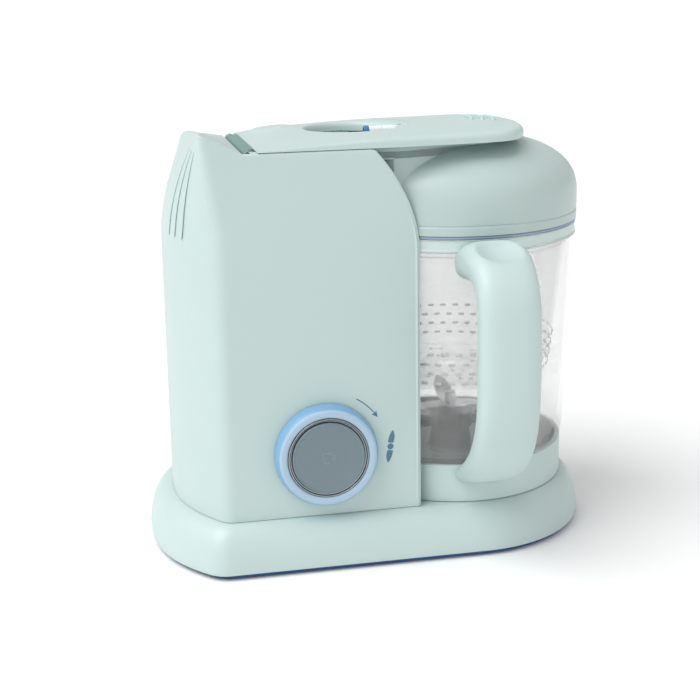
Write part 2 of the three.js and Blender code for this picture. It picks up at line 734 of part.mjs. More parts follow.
// ---------- lid ----------
const domeProfile = [
  [lidRadius, 197.9], [lidRadius, 213], [75.8, 226.5], [71, 233.5],
  [62, 239.8], [48.5, 245.6], [32, 248.8], [0, 249.8],
];

function domeShell() {
  const inner = domeProfile.slice().reverse().map(([r, z], i) => (i === 0 ? [0, z - 2.8] : [r - 2.4, z - 2]));
  inner[inner.length - 1] = [lidRadius - 4.6, 197.9];
  const points = [[0, 249.8], ...domeProfile.slice(0, -1).reverse(), ...inner.slice().reverse()];
  return toSolid(new THREE.LatheGeometry(points.map(([r, z]) => new THREE.Vector2(r, z)), roundSides)
    .rotateX(Math.PI / 2).translate(jugX, 0, 0));
}

function domeInside() {
  return toSolid(new THREE.LatheGeometry([[0, 180], [lidRadius - 4.6, 180], [lidRadius - 4.6, 197.9],
    ...domeProfile.slice(1, -1).map(([r, z]) => [r - 2.4, z - 2]), [0, 247],
  ].map(([r, z]) => new THREE.Vector2(r, z)), roundSides).rotateX(Math.PI / 2).translate(jugX, 0, 0));
}

const frame = { leftX: -73.8, halfDepth: 59.5, low: 242.1, high: 247.3, neckTop: 249.7 };
const leverCoreY = [-53.7, 23.7];
const knuckles = [[-59.9, -54], [24, 29.8]];
// Half of the bridge's outline, [x, y], from the hinge side to its round end on the dome.
const bridgeEdge = [
  [frame.leftX, frame.halfDepth], [10, frame.halfDepth], [24, 55.8], [33, 52.6], [43, 48.2],
  [54, 45], [68, 41.5], [79, 32], [86, 17], [88, 0],
];

function bridge() {
  const outline = [...bridgeEdge, ...bridgeEdge.slice(0, -1).reverse().map(([x, y]) => [x, -y])];
  const slab = plate(outline, frame.low, frame.high);
  const neck = plate(outline, 222, frame.neckTop);
  const besideLever = box(0, 100, -90, 90, 220, 260);
  const withinLid = roundZ(lidRadius, 220, 260, jugX, 0, roundSides);
  const shoulders = box(-14, 100, -90, 90, 220, 260);
  const leverCore = box(-90, 0, leverCoreY[0] - GAP, leverCoreY[1] + GAP, frame.high, 260);
  const raised = cut(plate(outline, frame.low, frame.neckTop).intersect(shoulders), leverCore);
  return join(slab, raised, neck.intersect(besideLever).intersect(withinLid));
}

function lidShell() {
  const arms = knuckles.map(([y0, y1]) => join(
    roundY(noseRadius, y0, y1, hinge.x, hinge.z, 16),
    box(hinge.x, frame.leftX + 2, y0, y1, frame.low + 1.6, frame.high),
  ));
  const body = join(cut(bridge(), domeInside()), domeShell(), ...arms);
  return cut(
    body,
    aboveRear(frame.neckTop, -90, 100),
    roundY(pinRadius + GAP, -90, 90, hinge.x, hinge.z, 12),
    roundZ(6, 230, 260, tank.x, 0, 16),
    box(tank.x, 12, -6, 6, 238, 245),
  );
}

function steamChannelPlate() {
  const slab = box(-74, -26, -38, 38, deckZ + GAP, 241.8);
  return cut(slab, roundZ(6, 230, 260, tank.x, 0, 16));
}

function buildLid(parent) {
  addPiece(parent, 'lid_shell', lidShell(), mint);
  addPiece(parent, 'steam_channel_plate', steamChannelPlate(), mintDark);
  const tankSeal = ringZ(tank.mouth - 0.7, tank.neck + 0.4, 237 + GAP, deckZ, 28);
  addPiece(group(parent, tank.x, 0, 0), 'tank_seal', tankSeal, silicone);
  addPiece(group(parent, jugX, 0, 0), 'lid_seal', ringZ(74.6, 78.3, rimTopZ + GAP, 197.6, roundSides), silicone);
  addPiece(parent, 'hinge_pin', roundY(pinRadius, -65, 35.5, hinge.x, hinge.z, 12), steel);
}

// ---------- lever ----------
// Station x, half width, height of the side wall and height of the crown, above the underside.
const leverStations = [
  [-74.2, 69.7, 0.5, 0.9], [-56, 69.7, 1.7, 4.2], [-38, 69.7, 3, 5.1], [-20, 69.7, 4.2, 6], [-4, 69.7, 5, 6.6],
  [14, 69, 5.3, 7.1], [36, 67.4, 5.4, 7.3], [54, 65.8, 5.4, 7.6], [66, 64, 5.4, 7.9], [75, 61.2, 5.4, 7.7],
  [82, 55.8, 5.4, 7.1], [88, 46.8, 5.4, 6.4], [92.5, 37.5, 5.3, 5.9], [96, 26.5, 5.2, 5.5],
  [98.2, 14.5, 5.1, 5.3], [99.3, 4, 5, 5.1],
];

function leverLoop([x, half, edge, crown]) {
  const shoulder = Math.max(0.93, 1 - 2 / half);
  const ys = [-1, -shoulder, -0.75, -0.4, 0, 0.36, 0.49, 0.62, 0.75, 0.875, shoulder, 1];
  const upper = ys.map((t) => {
    const lift = Math.abs(t) === 1 ? edge * 0.7 : edge + (crown - edge) * (1 - t * t);
    return [t * half, leverBottomZ + lift];
  });
  const lower = ys.map((t) => [t * half, leverBottomZ]).reverse();
  return [...lower, ...upper].map(([y, z]) => new THREE.Vector3(x, y, z - rearDrop(y)));
}

function leverPlate() {
  const slab = loft(leverStations.map(leverLoop), seenAlongX);
  const core = box(hinge.x + noseRadius, -3, ...leverCoreY, frame.high + GAP, leverBottomZ + 0.4);
  const nose = roundY(noseRadius, ...leverCoreY, hinge.x, hinge.z, 16);
  const web = box(hinge.x, hinge.x + 6, ...leverCoreY, frame.high + GAP, leverBottomZ + 0.5);
  const ribs = [68, 75, 82].map((x) => roundY(1.5, -13, 13, x, leverBottomZ + 7, 10));
  const holes = [
    roundZ(fingerHole.r, 230, 280, fingerHole.x, fingerHole.y, 36),
    roundX(latch.r + GAP, 10, 42, fingerHole.y, latch.z, 14),
    box(10, 42, fingerHole.y - latch.r - GAP, fingerHole.y + latch.r + GAP, 240, latch.z),
    roundY(pinRadius + GAP, -90, 90, hinge.x, hinge.z, 12),
  ];
  return cut(join(slab, core, nose, web, ...ribs), ...holes);
}

function buildLever(parent) {
  addPiece(parent, 'lever_plate', leverPlate(), mint);
  const { y } = fingerHole;
  const { r, bore, z } = latch;
  addPiece(parent, 'latch_slider', cut(roundX(r, 4, 32, y, z, 14), roundX(bore, 3, 9, y, z, 10)), white);
  addPiece(parent, 'latch_cap', cut(roundX(r + 0.2, 0.8, 3.7, y, z, 14), roundX(bore, 0, 9, y, z, 10)), navy);
  addPiece(parent, 'latch_spring', cut(roundX(2.5, 32.3, 41.6, y, z, 10), roundX(bore, 30, 45, y, z, 8)), steel);
}

// ---------- assembly ----------
function foodMaker() {
  const machine = new THREE.Group();
  buildBase(machine);
  buildTower(machine);
  buildBoiler(machine);
  buildDrive(machine);
  buildKnob(machine);
  buildLeads(machine);
  buildJug(machine);
  buildLid(machine);
  buildLever(machine);
  return machine;
}

const machine = foodMaker();
export default machine;
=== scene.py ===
import bpy, bmesh, json, math
from mathutils import Vector, Matrix


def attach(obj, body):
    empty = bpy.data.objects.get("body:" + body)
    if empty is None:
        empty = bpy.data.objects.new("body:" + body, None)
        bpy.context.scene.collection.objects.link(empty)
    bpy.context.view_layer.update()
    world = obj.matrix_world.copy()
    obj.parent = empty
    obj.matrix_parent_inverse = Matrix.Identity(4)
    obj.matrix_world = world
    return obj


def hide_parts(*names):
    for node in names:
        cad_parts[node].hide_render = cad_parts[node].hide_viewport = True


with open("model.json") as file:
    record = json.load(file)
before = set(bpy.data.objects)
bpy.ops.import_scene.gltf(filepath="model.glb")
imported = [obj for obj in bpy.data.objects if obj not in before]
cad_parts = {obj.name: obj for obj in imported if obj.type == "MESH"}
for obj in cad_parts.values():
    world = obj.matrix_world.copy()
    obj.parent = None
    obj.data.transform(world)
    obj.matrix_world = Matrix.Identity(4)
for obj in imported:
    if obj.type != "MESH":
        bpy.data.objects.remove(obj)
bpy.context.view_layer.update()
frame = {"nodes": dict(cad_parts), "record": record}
NODES = frame["nodes"]
scene = bpy.context.scene

# ---------------------------------------------------------------- dimensions, mm
MM = 0.001
JUG_X = 57.5  # the jug's axis
LID_R = 78.8
RECESS_R = 79.4  # the hollow in the tower that the jug stands in
SEAM_Y = -4.0  # where the tower's two shells meet
SEAM_GAP = 0.15
CHEEK_Y = 60.3  # inner faces of the tower's cheeks
LIP_Y = 68.4  # inner face of the thin wall outside the notch
DEPTH = 70.0  # half the tower's depth, so its front face is at -DEPTH
CORNER_X = -99  # the tower's left corners
MIDDLE_X = -125.3  # the middle of its bulged end
END_POWER = 2.2  # how square that bulge is
GROOVE_X = -78.2  # the notch between cheek and ear runs from here to EAR_X
EAR_X = -82.8
TOP_Z = 250.0
NOTCH_Z = 246.5  # the notch's floor
HINGE = (-77.5, 247)
BARREL_R = 3.3  # the rounding of the arms and the lever about the hinge
LEVER_Z = 250.3
KNOB = (-38.7, 70.1)
HOLE = (-8.0, -4.0, 27.5)
LATCH_Z = 253.1
TANK_X = -53.5
FEET = {"front_left": (-96, -62), "front_right": (78, -58), "rear_left": (-96, 62), "rear_right": (78, 58)}


def clamp(v, a=0.0, b=1.0):
    return max(a, min(b, v))


def lerp(a, b, t):
    return a + (b - a) * t


def smooth(t):
    t = clamp(t)
    return t * t * (3 - 2 * t)


# ---------------------------------------------------------------- materials
class Nodes:
    """A small wrapper for building one material's nodes."""

    def __init__(self, name):
        self.mat = bpy.data.materials.new(name)
        self.mat.use_nodes = True
        self.tree = self.mat.node_tree
        self.bsdf = self.tree.nodes["Principled BSDF"]
        self.coord = self.tree.nodes.new("ShaderNodeTexCoord")

    def add(self, kind, **values):
        node = self.tree.nodes.new(kind)
        for key, value in values.items():
            if hasattr(node, key):
                setattr(node, key, value)
            else:
                node.inputs[key.replace("_", " ")].default_value = value
        return node

    def link(self, a, b):
        self.tree.links.new(a, b)

    def drive(self, socket, source):
        """Feeds one of the shader's own inputs."""
        self.link(source, self.bsdf.inputs[socket])

    def noise(self, scale, detail=3.0, stretch=None):
        node = self.add("ShaderNodeTexNoise", Scale=scale, Detail=detail)
        if stretch:
            mapping = self.add("ShaderNodeMapping")
            mapping.inputs["Scale"].default_value = stretch
            self.link(self.coord.outputs["Object"], mapping.inputs["Vector"])
            self.link(mapping.outputs["Vector"], node.inputs["Vector"])
        else:
            self.link(self.coord.outputs["Object"], node.inputs["Vector"])
        return node

    def ramp(self, source, low, high, a, b):
        node = self.add("ShaderNodeMapRange")
        for key, value in (("From Min", low), ("From Max", high), ("To Min", a), ("To Max", b)):
            node.inputs[key].default_value = value
        self.link(source, node.inputs["Value"])
        return node.outputs["Result"]

    def colour(self, source, one, two):
        node = self.add("ShaderNodeMix", data_type="RGBA")
        self.link(source, node.inputs[0])
        node.inputs[6].default_value = (*one, 1)
        node.inputs[7].default_value = (*two, 1)
        return node.outputs[2]

    def bump(self, source, distance, strength=1.0, under=None):
        node = self.add("ShaderNodeBump", Strength=strength, Distance=distance)
        self.link(source, node.inputs["Height"])
        if under:
            self.link(under, node.inputs["Normal"])
        return node.outputs["Normal"]


def tint(colour, factor):
    return tuple(clamp(c * factor) for c in colour)


def plastic(name, colour, rough=0.42, grain=0.00004, coat=0.0, vary=0.05, grain_scale=2600):
    n = Nodes(name)
    cloud = n.noise(9, 4)
    speck = n.noise(grain_scale, 2)
    n.drive("Base Color", n.colour(cloud.outputs["Fac"], tint(colour, 1 - vary), tint(colour, 1 + vary)))
    streak = n.noise(60, 5)
    n.drive("Roughness", n.ramp(streak.outputs["Fac"], 0.3, 0.7, rough - 0.05, rough + 0.06))
    wave = n.bump(n.noise(28, 2).outputs["Fac"], 0.00012, 0.25)
    n.drive("Normal", n.bump(speck.outputs["Fac"], grain, 0.5, wave))
    n.bsdf.inputs["Coat Weight"].default_value = coat
    n.bsdf.inputs["Coat Roughness"].default_value = 0.25
    n.bsdf.inputs["IOR"].default_value = 1.5
    return n.mat


def metal(name, colour, rough=0.28, stretch=(1, 1, 60), scratch=0.00002):
    n = Nodes(name)
    grain = n.noise(180, 6, stretch)
    cloud = n.noise(30, 3)
    n.drive("Base Color", n.colour(cloud.outputs["Fac"], tint(colour, 0.9), tint(colour, 1.06)))
    n.drive("Roughness", n.ramp(grain.outputs["Fac"], 0.3, 0.7, rough - 0.07, rough + 0.1))
    n.drive("Normal", n.bump(grain.outputs["Fac"], scratch, 0.5))
    n.bsdf.inputs["Metallic"].default_value = 1.0
    return n.mat


def clear_plastic(name, colour, rough=0.03, transmission=1.0, ripple=0.0001, alpha=1.0):
    n = Nodes(name)
    cloud = n.noise(14, 3)
    n.drive("Base Color", n.colour(cloud.outputs["Fac"], tint(colour, 0.985), tint(colour, 1.0)))
    smear = n.noise(24, 5)
    n.drive("Roughness", n.ramp(smear.outputs["Fac"], 0.35, 0.75, rough, rough + 0.04))
    n.drive("Normal", n.bump(n.noise(20, 2).outputs["Fac"], ripple, 0.3))
    n.bsdf.inputs["Transmission Weight"].default_value = transmission
    n.bsdf.inputs["Alpha"].default_value = alpha
    n.bsdf.inputs["IOR"].default_value = 1.49
    return n.mat


def rubbery(name, colour, rough=0.75):
    n = Nodes(name)
    speck = n.noise(900, 3)
    n.drive("Base Color", n.colour(n.noise(40, 3).outputs["Fac"], tint(colour, 0.85), tint(colour, 1.15)))
    n.drive("Roughness", n.ramp(speck.outputs["Fac"], 0.3, 0.7, rough - 0.08, rough + 0.08))
    n.drive("Normal", n.bump(speck.outputs["Fac"], 0.00006, 0.5))
    return n.mat


MINT = (0.497, 0.612, 0.592)
mint = plastic("mint plastic", MINT, 0.40, vary=0.025)
# The lid uses the tower's mint made darker, as painted shade for the dome that curves away from the light.
mint_lid_painted_shade = plastic("mint lid plastic darkened as painted shade", tint(MINT, 0.89), 0.34, vary=0.025)
mint_dark = plastic("mint inner plastic", (0.30, 0.42, 0.395), 0.5)
navy = plastic("navy plastic", (0.022, 0.085, 0.26), 0.45)
rubber = rubbery("rubber pad", (0.024, 0.028, 0.036))
slate = plastic("slate plastic", (0.150, 0.205, 0.235), 0.34, 0.00002, 0.3)
periwinkle = plastic("periwinkle plastic", (0.375, 0.510, 0.640), 0.34, 0.00002, 0.25, 0.02)
sky = plastic("sky plastic", (0.190, 0.395, 0.610), 0.34, 0.00002, 0.25, 0.02)
clear = clear_plastic("clear plastic", (0.99, 0.995, 0.99), transmission=0.60, alpha=0.25)
frosted = clear_plastic("frosted plastic", (0.80, 0.93, 0.90), 0.30, 0.55, 0.0003)
milky = clear_plastic("milky plastic", (0.98, 0.99, 0.98), 0.25, 0.20, 0.0003, 0.14)
pale_bar = plastic("pale bar plastic", (0.80, 0.83, 0.81), 0.4)
steel = metal("brushed steel", (0.56, 0.57, 0.585))
blade_steel = metal("blade steel", (0.66, 0.67, 0.68), 0.2, (40, 1, 1))
chrome = metal("chrome trim", (0.32, 0.35, 0.38), 0.12, (1, 1, 1))
black = plastic("black plastic", (0.018, 0.019, 0.022), 0.42)
white = plastic("white plastic", (0.80, 0.82, 0.84), 0.35)
copper = metal("copper", (0.60, 0.30, 0.16), 0.3)
silicone = rubbery("silicone", (0.135, 0.225, 0.330), 0.5)
ring_blue = plastic("ring blue plastic", (0.07, 0.17, 0.42), 0.35, 0.00002, 0.3)
seal_blue = rubbery("seal", (0.30, 0.38, 0.52), 0.5)
# Dark mint painted as shade: the hinge arms and the lever's core sit deep in the groove beside the ear.
groove_painted_shade = plastic("mint groove painted shade", (0.16, 0.27, 0.25), 0.5)
icon_blue = plastic("printed icon", (0.085, 0.185, 0.285), 0.5, 0.00001)
icon_pale = plastic("pale icon", (0.26, 0.34, 0.38), 0.4, 0.00001)


def board_material():
    """Green lacquer with rows of tracks."""
    n = Nodes("circuit board")
    brick = n.add("ShaderNodeTexBrick", Scale=170.0)
    lacquer = {"Color1": (0.02, 0.12, 0.05), "Color2": (0.03, 0.17, 0.07), "Mortar": (0.09, 0.30, 0.14)}
    for key, value in lacquer.items():
        brick.inputs[key].default_value = (*value, 1)
    turn = n.add("ShaderNodeMapping")
    turn.inputs["Rotation"].default_value = (math.pi / 2, 0, 0)
    n.link(n.coord.outputs["Object"], turn.inputs["Vector"])
    n.link(turn.outputs["Vector"], brick.inputs["Vector"])
    n.drive("Base Color", brick.outputs["Color"])
    n.drive("Normal", n.bump(brick.outputs["Fac"], 0.00005, 0.6))
    n.drive("Roughness", n.ramp(n.noise(80, 3).outputs["Fac"], 0.3, 0.7, 0.28, 0.42))
    return n.mat


board = board_material()
SLOT_MATERIALS = {
    "mint_plastic": mint, "mint_dark_plastic": mint_dark, "navy_plastic": navy, "rubber_pad": rubber,
    "slate_plastic": slate, "periwinkle_plastic": periwinkle, "clear_plastic": clear,
    "frosted_plastic": frosted, "steel": steel, "chrome_trim": chrome, "black_plastic": black,
    "white_plastic": white, "circuit_board": board, "copper": copper, "silicone": silicone,
}


# ---------------------------------------------------------------- mesh helpers
def make_object(name, points, faces, material, sharp=32, outside=None, weld=0.004):
    """A smooth-shaded mesh from points in mm. outside is a point the faces look away from."""
    mesh = bpy.data.meshes.new(name)
    mesh.from_pydata([(x * MM, y * MM, z * MM) for x, y, z in points], [], faces)
    b = bmesh.new()
    b.from_mesh(mesh)
    bmesh.ops.remove_doubles(b, verts=b.verts, dist=weld * MM)
    bmesh.ops.recalc_face_normals(b, faces=b.faces)
    if outside is not None:
        centre = Vector(outside) * MM
        total = sum((f.calc_center_median() - centre).dot(f.normal) * f.calc_area() for f in b.faces)
        if total < 0:
            bmesh.ops.reverse_faces(b, faces=b.faces)
    b.to_mesh(mesh)
    b.free()
    mesh.shade_smooth()
    mesh.set_sharp_from_angle(angle=math.radians(sharp))
    mesh.materials.append(material)
    obj = bpy.data.objects.new(name, mesh)
    scene.collection.objects.link(obj)
    return obj


def apply_modifiers(obj, sharp=32):
    bpy.context.view_layer.update()
    made = bpy.data.meshes.new_from_object(obj.evaluated_get(bpy.context.evaluated_depsgraph_get()))
    obj.modifiers.clear()
    obj.data = made
    made.shade_smooth()
    made.set_sharp_from_angle(angle=math.radians(sharp))
    return obj


def thicken(obj, thickness, sharp=32):
    solid = obj.modifiers.new("wall", "SOLIDIFY")
    solid.thickness = thickness * MM
    solid.offset = -1
    return apply_modifiers(obj, sharp)


def carve(obj, cutters, sharp=32):
    for i, cutter in enumerate(cutters):
        cut = obj.modifiers.new(f"cut{i}", "BOOLEAN")
        cut.operation = "DIFFERENCE"
        cut.solver = "EXACT"
        cut.object = cutter
    apply_modifiers(obj, sharp)
    for cutter in cutters:
        bpy.data.objects.remove(cutter)
    return obj


def make_box(name, low, high):
    points = [(x, y, z) for x in (low[0], high[0]) for y in (low[1], high[1]) for z in (low[2], high[2])]
    faces = [(0, 1, 3, 2), (4, 6, 7, 5), (0, 4, 5, 1), (2, 3, 7, 6), (0, 2, 6, 4), (1, 5, 7, 3)]
    return make_object(name, points, faces, mint)


def intersect(obj, keeper, sharp=30):
    modifier = obj.modifiers.new("within", "BOOLEAN")
    modifier.operation = "INTERSECT"
    modifier.solver = "EXACT"
    modifier.object = keeper
    apply_modifiers(obj, sharp)
    bpy.data.objects.remove(keeper)
    return obj


def join(obj, *others):
    """Puts the others' geometry into obj."""
    b = bmesh.new()
    b.from_mesh(obj.data)
    for other in others:
        slots = []
        for material in other.data.materials:
            if material.name not in obj.data.materials:
                obj.data.materials.append(material)
            slots.append(list(obj.data.materials).index(material))
        before = len(b.faces)
        b.from_mesh(other.data)
        b.faces.ensure_lookup_table()
        for face in b.faces[before:]:
            face.material_index = slots[face.material_index] if slots else 0
        bpy.data.objects.remove(other)
    b.to_mesh(obj.data)
    b.free()
    return obj


def loft(name, loops, material, sharp=32, cap=(True, True), outside=None):
    count = len(loops[0])
    points = [p for loop in loops for p in loop]
    faces = []
    for k in range(len(loops) - 1):
        for i in range(count):
            a, b = k * count + i, k * count + (i + 1) % count
            faces.append((a, b, b + count, a + count))
    if cap[0]:
        faces.append(tuple(range(count)))
    if cap[1]:
        faces.append(tuple(range((len(loops) - 1) * count, len(loops) * count)))
    return make_object(name, points, faces, material, sharp, outside)


def sheet_faces(base, count, rows):
    """The faces of an open sheet: rows of count points each, numbered from base."""
    faces = []
    for k in range(rows - 1):
        for i in range(count - 1):
            a, b = base + k * count + i, base + (k + 1) * count + i
            faces.append((a, a + 1, b + 1, b))
    return faces


def extrude(name, outline, place, ends, material, sharp=32):
    """A straight bar: place(p, q, end) puts each outline point at each end."""
    return loft(name, [[place(p, q, end) for p, q in outline] for end in ends], material, sharp)


def fillet(corners, closed=True, steps=6):
    """Corners (x, y, radius) to points, each corner rounded to its radius."""
    out = []
    count = len(corners)
    for i, (x, y, radius) in enumerate(corners):
        p = Vector((x, y))
        if radius <= 0 or (not closed and i in (0, count - 1)):
            out.append((x, y))
            continue
        a = Vector(corners[i - 1][:2]) - p
        b = Vector(corners[(i + 1) % count][:2]) - p
        reach = (a.length, b.length)
        a.normalize()
        b.normalize()
        back = min(radius / max(0.05, math.tan(a.angle(b) / 2)), reach[0] * 0.49, reach[1] * 0.49)
        for k in range(steps + 1):
            t = k / steps
            q = (1 - t) ** 2 * (p + a * back) + 2 * t * (1 - t) * p + t * t * (p + b * back)
            out.append((q.x, q.y))
    return out


def along_z(x=0.0, y=0.0):
    return lambda r, h, a: (x + r * math.cos(a), y + r * math.sin(a), h)


def along_front(x, z):
    """Turned about an axis through the front face: height is measured forwards from it."""
    return lambda r, h, a: (x + r * math.cos(a), -DEPTH - h, z + r * math.sin(a))


def along_y(x, z):
    return lambda r, h, a: (x + r * math.cos(a), h, z + r * math.sin(a))


def along_x(y, z):
    return lambda r, h, a: (h, y + r * math.cos(a), z + r * math.sin(a))


def lathe(name, profile, material, place, steps=160, sharp=32, closed=True, radius_at=None):
    """profile is a list of (radius, height). radius_at changes a radius by angle."""
    loops = []
    for r, h in profile + ([profile[0]] if closed else []):
        row = []
        for i in range(steps):
            a = 2 * math.pi * i / steps
            row.append(place(radius_at(r, h, a) if radius_at else r, h, a))
        loops.append(row)
    return loft(name, loops, material, sharp, cap=(False, False))


def plug(name, radius, low, high, material, place, steps):
    """A plain cylinder from low to high, to cut or keep with."""
    profile = [(0, low), (radius, low), (radius, high), (0, high)]
    return lathe(name, profile, material, place, steps, closed=False)


def put(obj, body, slot, *nodes):
    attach(obj, body)
    if nodes:
        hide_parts(*nodes)
    return obj


def catmull_at(a, b, c, d, t):
    """The value at t on the way from b to c, with a and d as the neighbours beyond."""
    square, cube = 2 * a - 5 * b + 4 * c - d, 3 * b - a - 3 * c + d
    return 0.5 * (2 * b + (c - a) * t + square * t * t + cube * t ** 3)


def catmull(points, steps):
    """A smooth path through tuples of any length."""
    out = []
    last = len(points) - 1
    for i in range(last):
        p0, p1, p2, p3 = points[max(0, i - 1)], points[i], points[i + 1], points[min(last, i + 2)]
        for k in range(steps):
            t = k / steps
            out.append(tuple(catmull_at(*values, t) for values in zip(p0, p1, p2, p3)))
    out.append(tuple(points[-1]))
    return out


def tube(name, points, radius, material, sides=12, flat=1.0, normal=None):
    """A round or flattened bar with closed ends along points in mm."""
    loops = []
    count = len(points)
    for i, point in enumerate(points):
        p = Vector(point)
        tangent = (Vector(points[min(count - 1, i + 1)]) - Vector(points[max(0, i - 1)])).normalized()
        up = Vector(normal) if normal else Vector((0, 0, 1))
        side = tangent.cross(up).normalized()
        out = side.cross(tangent).normalized()
        loops.append([
            tuple(p + side * radius * math.cos(a) + out * radius * flat * math.sin(a))
            for a in (2 * math.pi * k / sides for k in range(sides))
        ])
    return loft(name, loops, material, 50)


# ---------------------------------------------------------------- shared surfaces
def rear_drop(y):
    return 0.0069 * max(0.0, y - 25) ** 2


def top_height(x, y):
    across = clamp((y + DEPTH) / (2 * DEPTH))
    slope = 0.5 * (1 - across ** 2) ** 1.6
    return TOP_Z - rear_drop(y) + slope * max(0.0, EAR_X - x)


def corner_x(z, inset):
    return CORNER_X + inset - 0.165 * max(0, z - 206)


def middle_x(z, inset):
    return MIDDLE_X + inset + 0.0047 * max(0, z - 190) ** 2


def right_x(z, inset):
    depth = DEPTH - inset
    recess = JUG_X - math.sqrt((RECESS_R + inset) ** 2 - depth ** 2)
    return min(recess, 20 - 1.4 * inset - 0.0072 * max(0, z - 189) ** 2)


def bulge(middle, corner, half, power, y):
    return lerp(middle, corner, abs(y / half) ** power)


CREASE = 5.0
EDGE_ROUND = 1.6
# points along each stretch of the outline, from the recess edge to the seam
N_RIGHT, N_FRONT, N_GROOVE, N_EAR, N_CREASE, N_END = 7, 34, 2, 16, 8, 44


def bezier(a, p, b, t):
    return tuple((1 - t) ** 2 * u + 2 * t * (1 - t) * v + t * t * w for u, v, w in zip(a, p, b))


def wall_point(index, z, inset, side):
    """The tower's outline, numbered from the recess edge round the face to the seam on the bulged end."""
    depth = DEPTH - inset
    right = right_x(z, inset)
    arc = JUG_X - math.sqrt((RECESS_R + inset) ** 2 - (CHEEK_Y - inset) ** 2)
    edge = (min(arc, right + 0.3), CHEEK_Y - inset)
    corner = corner_x(z, inset)
    middle = middle_x(z, inset)
    start = corner + CREASE
    if index < N_RIGHT:
        away = Vector((edge[0] - right, edge[1] - depth))
        back = away.normalized() * min(EDGE_ROUND, away.length * 0.5)
        if index == 0:
            x, y = edge
        else:
            t = (index - 1) / (N_RIGHT - 2)
            x, y = bezier((right + back.x, depth + back.y), (right, depth), (right - EDGE_ROUND, depth), t)
    elif index < N_RIGHT + N_FRONT:
        t = (index - N_RIGHT + 1) / N_FRONT
        x, y = lerp(right - EDGE_ROUND, GROOVE_X, t), depth
    elif index < N_RIGHT + N_FRONT + N_GROOVE:
        t = (index - N_RIGHT - N_FRONT + 1) / N_GROOVE
        x, y = lerp(GROOVE_X, EAR_X, t), depth
    elif index < N_RIGHT + N_FRONT + N_GROOVE + N_EAR:
        t = (index - N_RIGHT - N_FRONT - N_GROOVE + 1) / N_EAR
        x, y = lerp(EAR_X, start, t), depth
    else:
        rest = index - N_RIGHT - N_FRONT - N_GROOVE - N_EAR
        join_y = depth - 4.2
        if rest < N_CREASE:
            t = (rest + 1) / N_CREASE
            meet = (bulge(middle, corner, depth, END_POWER, join_y), join_y)
            x, y = bezier((start, depth), (corner, depth), meet, t)
        else:
            t = (rest - N_CREASE + 1) / N_END
            seam = SEAM_Y + side * SEAM_GAP
            y = lerp(join_y, side * seam, t)
            x = bulge(middle, corner, depth, END_POWER, y)
    return x, side * y


def wall_column(index, side):
    """One upright line of the tower's skin, from the deck to the rounded top edge."""
    z_top = 255.0
    for _ in range(30):
        x, y = wall_point(index, z_top, 0, side)
        z_top = top_height(x, y)
    soft = 1.5
    levels = [31.3, 31.6, 33, 60, 90, 120, 150, 175, 189]
    levels += [lerp(189, z_top - soft, t / 22) for t in range(1, 23)]
    column = [(*wall_point(index, z, 0, side), z) for z in levels]
    for k in range(1, 7):
        angle = math.pi / 2 * k / 6
        inset = soft * (1 - math.cos(angle))
        z = z_top
        for _ in range(6):
            x, y = wall_point(index, z, inset, side)
            z = top_height(x, y) - soft * (1 - math.sin(angle))
        column.append((x, y, z))
    return column


def recess_rows(levels, sign):
    """The hollow face round the jug, from the seam to the outer edge."""
    seam = math.asin((SEAM_Y + sign * SEAM_GAP) / RECESS_R)
    edge = math.asin(CHEEK_Y / RECESS_R)
    rows = []
    for k in range(21):
        a = lerp(seam, sign * edge, k / 20)
        x, y = JUG_X - RECESS_R * math.cos(a), RECESS_R * math.sin(a)
        rows.append([(min(x, right_x(z, 0) + 0.3), y, z) for z in levels if z < 236])
    return rows


def cheek_rows(tops, inner):
    """The top of the cheek beside the lid, and its inner wall."""
    limit = tops[0][0]
    rows = []
    for x, y, z in tops:
        reach = min(x, limit)
        ways = [(lerp(x, reach, t), lerp(y, inner, t)) for t in (0, 0.2, 0.5, 0.8, 0.95)]
        row = [(px, py, top_height(0, py)) for px, py in ways]
        row += [(reach, inner, top_height(0, inner) - 0.6), (reach, inner, 235)]
        rows.append(row)
    return rows


def groove_rows(tops, lip, inner):
    """The notch between the cheek and the ear."""
    return [
        [
            (x, y, z), (x, lip, top_height(0, lip)), (x, lip, NOTCH_Z - rear_drop(lip)),
            (x, inner, NOTCH_Z - rear_drop(inner)), (x, inner, 236),
        ]
        for x, y, z in tops
    ]


def step_rows(x, lip, inner):
    """The cheek's end face, where the notch begins."""
    return [[(x, y, top_height(0, y)), (x, y, NOTCH_Z - rear_drop(y))] for y in (lip, inner)]


def ear_rows(first, others):
    """The top of the ear: the first row runs along the face, the others across from the bulged end."""
    near = first[-1][0]
    fractions = [(near - p[0]) / (near - EAR_X) for p in reversed(first)]
    rows = [list(reversed(first))]
    for x, y, z in others:
        across = [lerp(x, EAR_X, t) for t in fractions]
        rows.append([(px, y, top_height(px, y)) for px in across])
    return rows


def ear_wall(rows, lip, sign):
    """The ear's inner wall."""
    wall = []
    for row in rows:
        x, y, z = row[-1]
        if abs(y) < LIP_Y:
            wall.append([(x, y, z), (x, y, z - 0.4), (x, y, 239)])
    if sign < 0:
        wall.insert(0, [(EAR_X, lip, top_height(0, lip)), (EAR_X, lip, 249), (EAR_X, lip, 239)])
    return wall


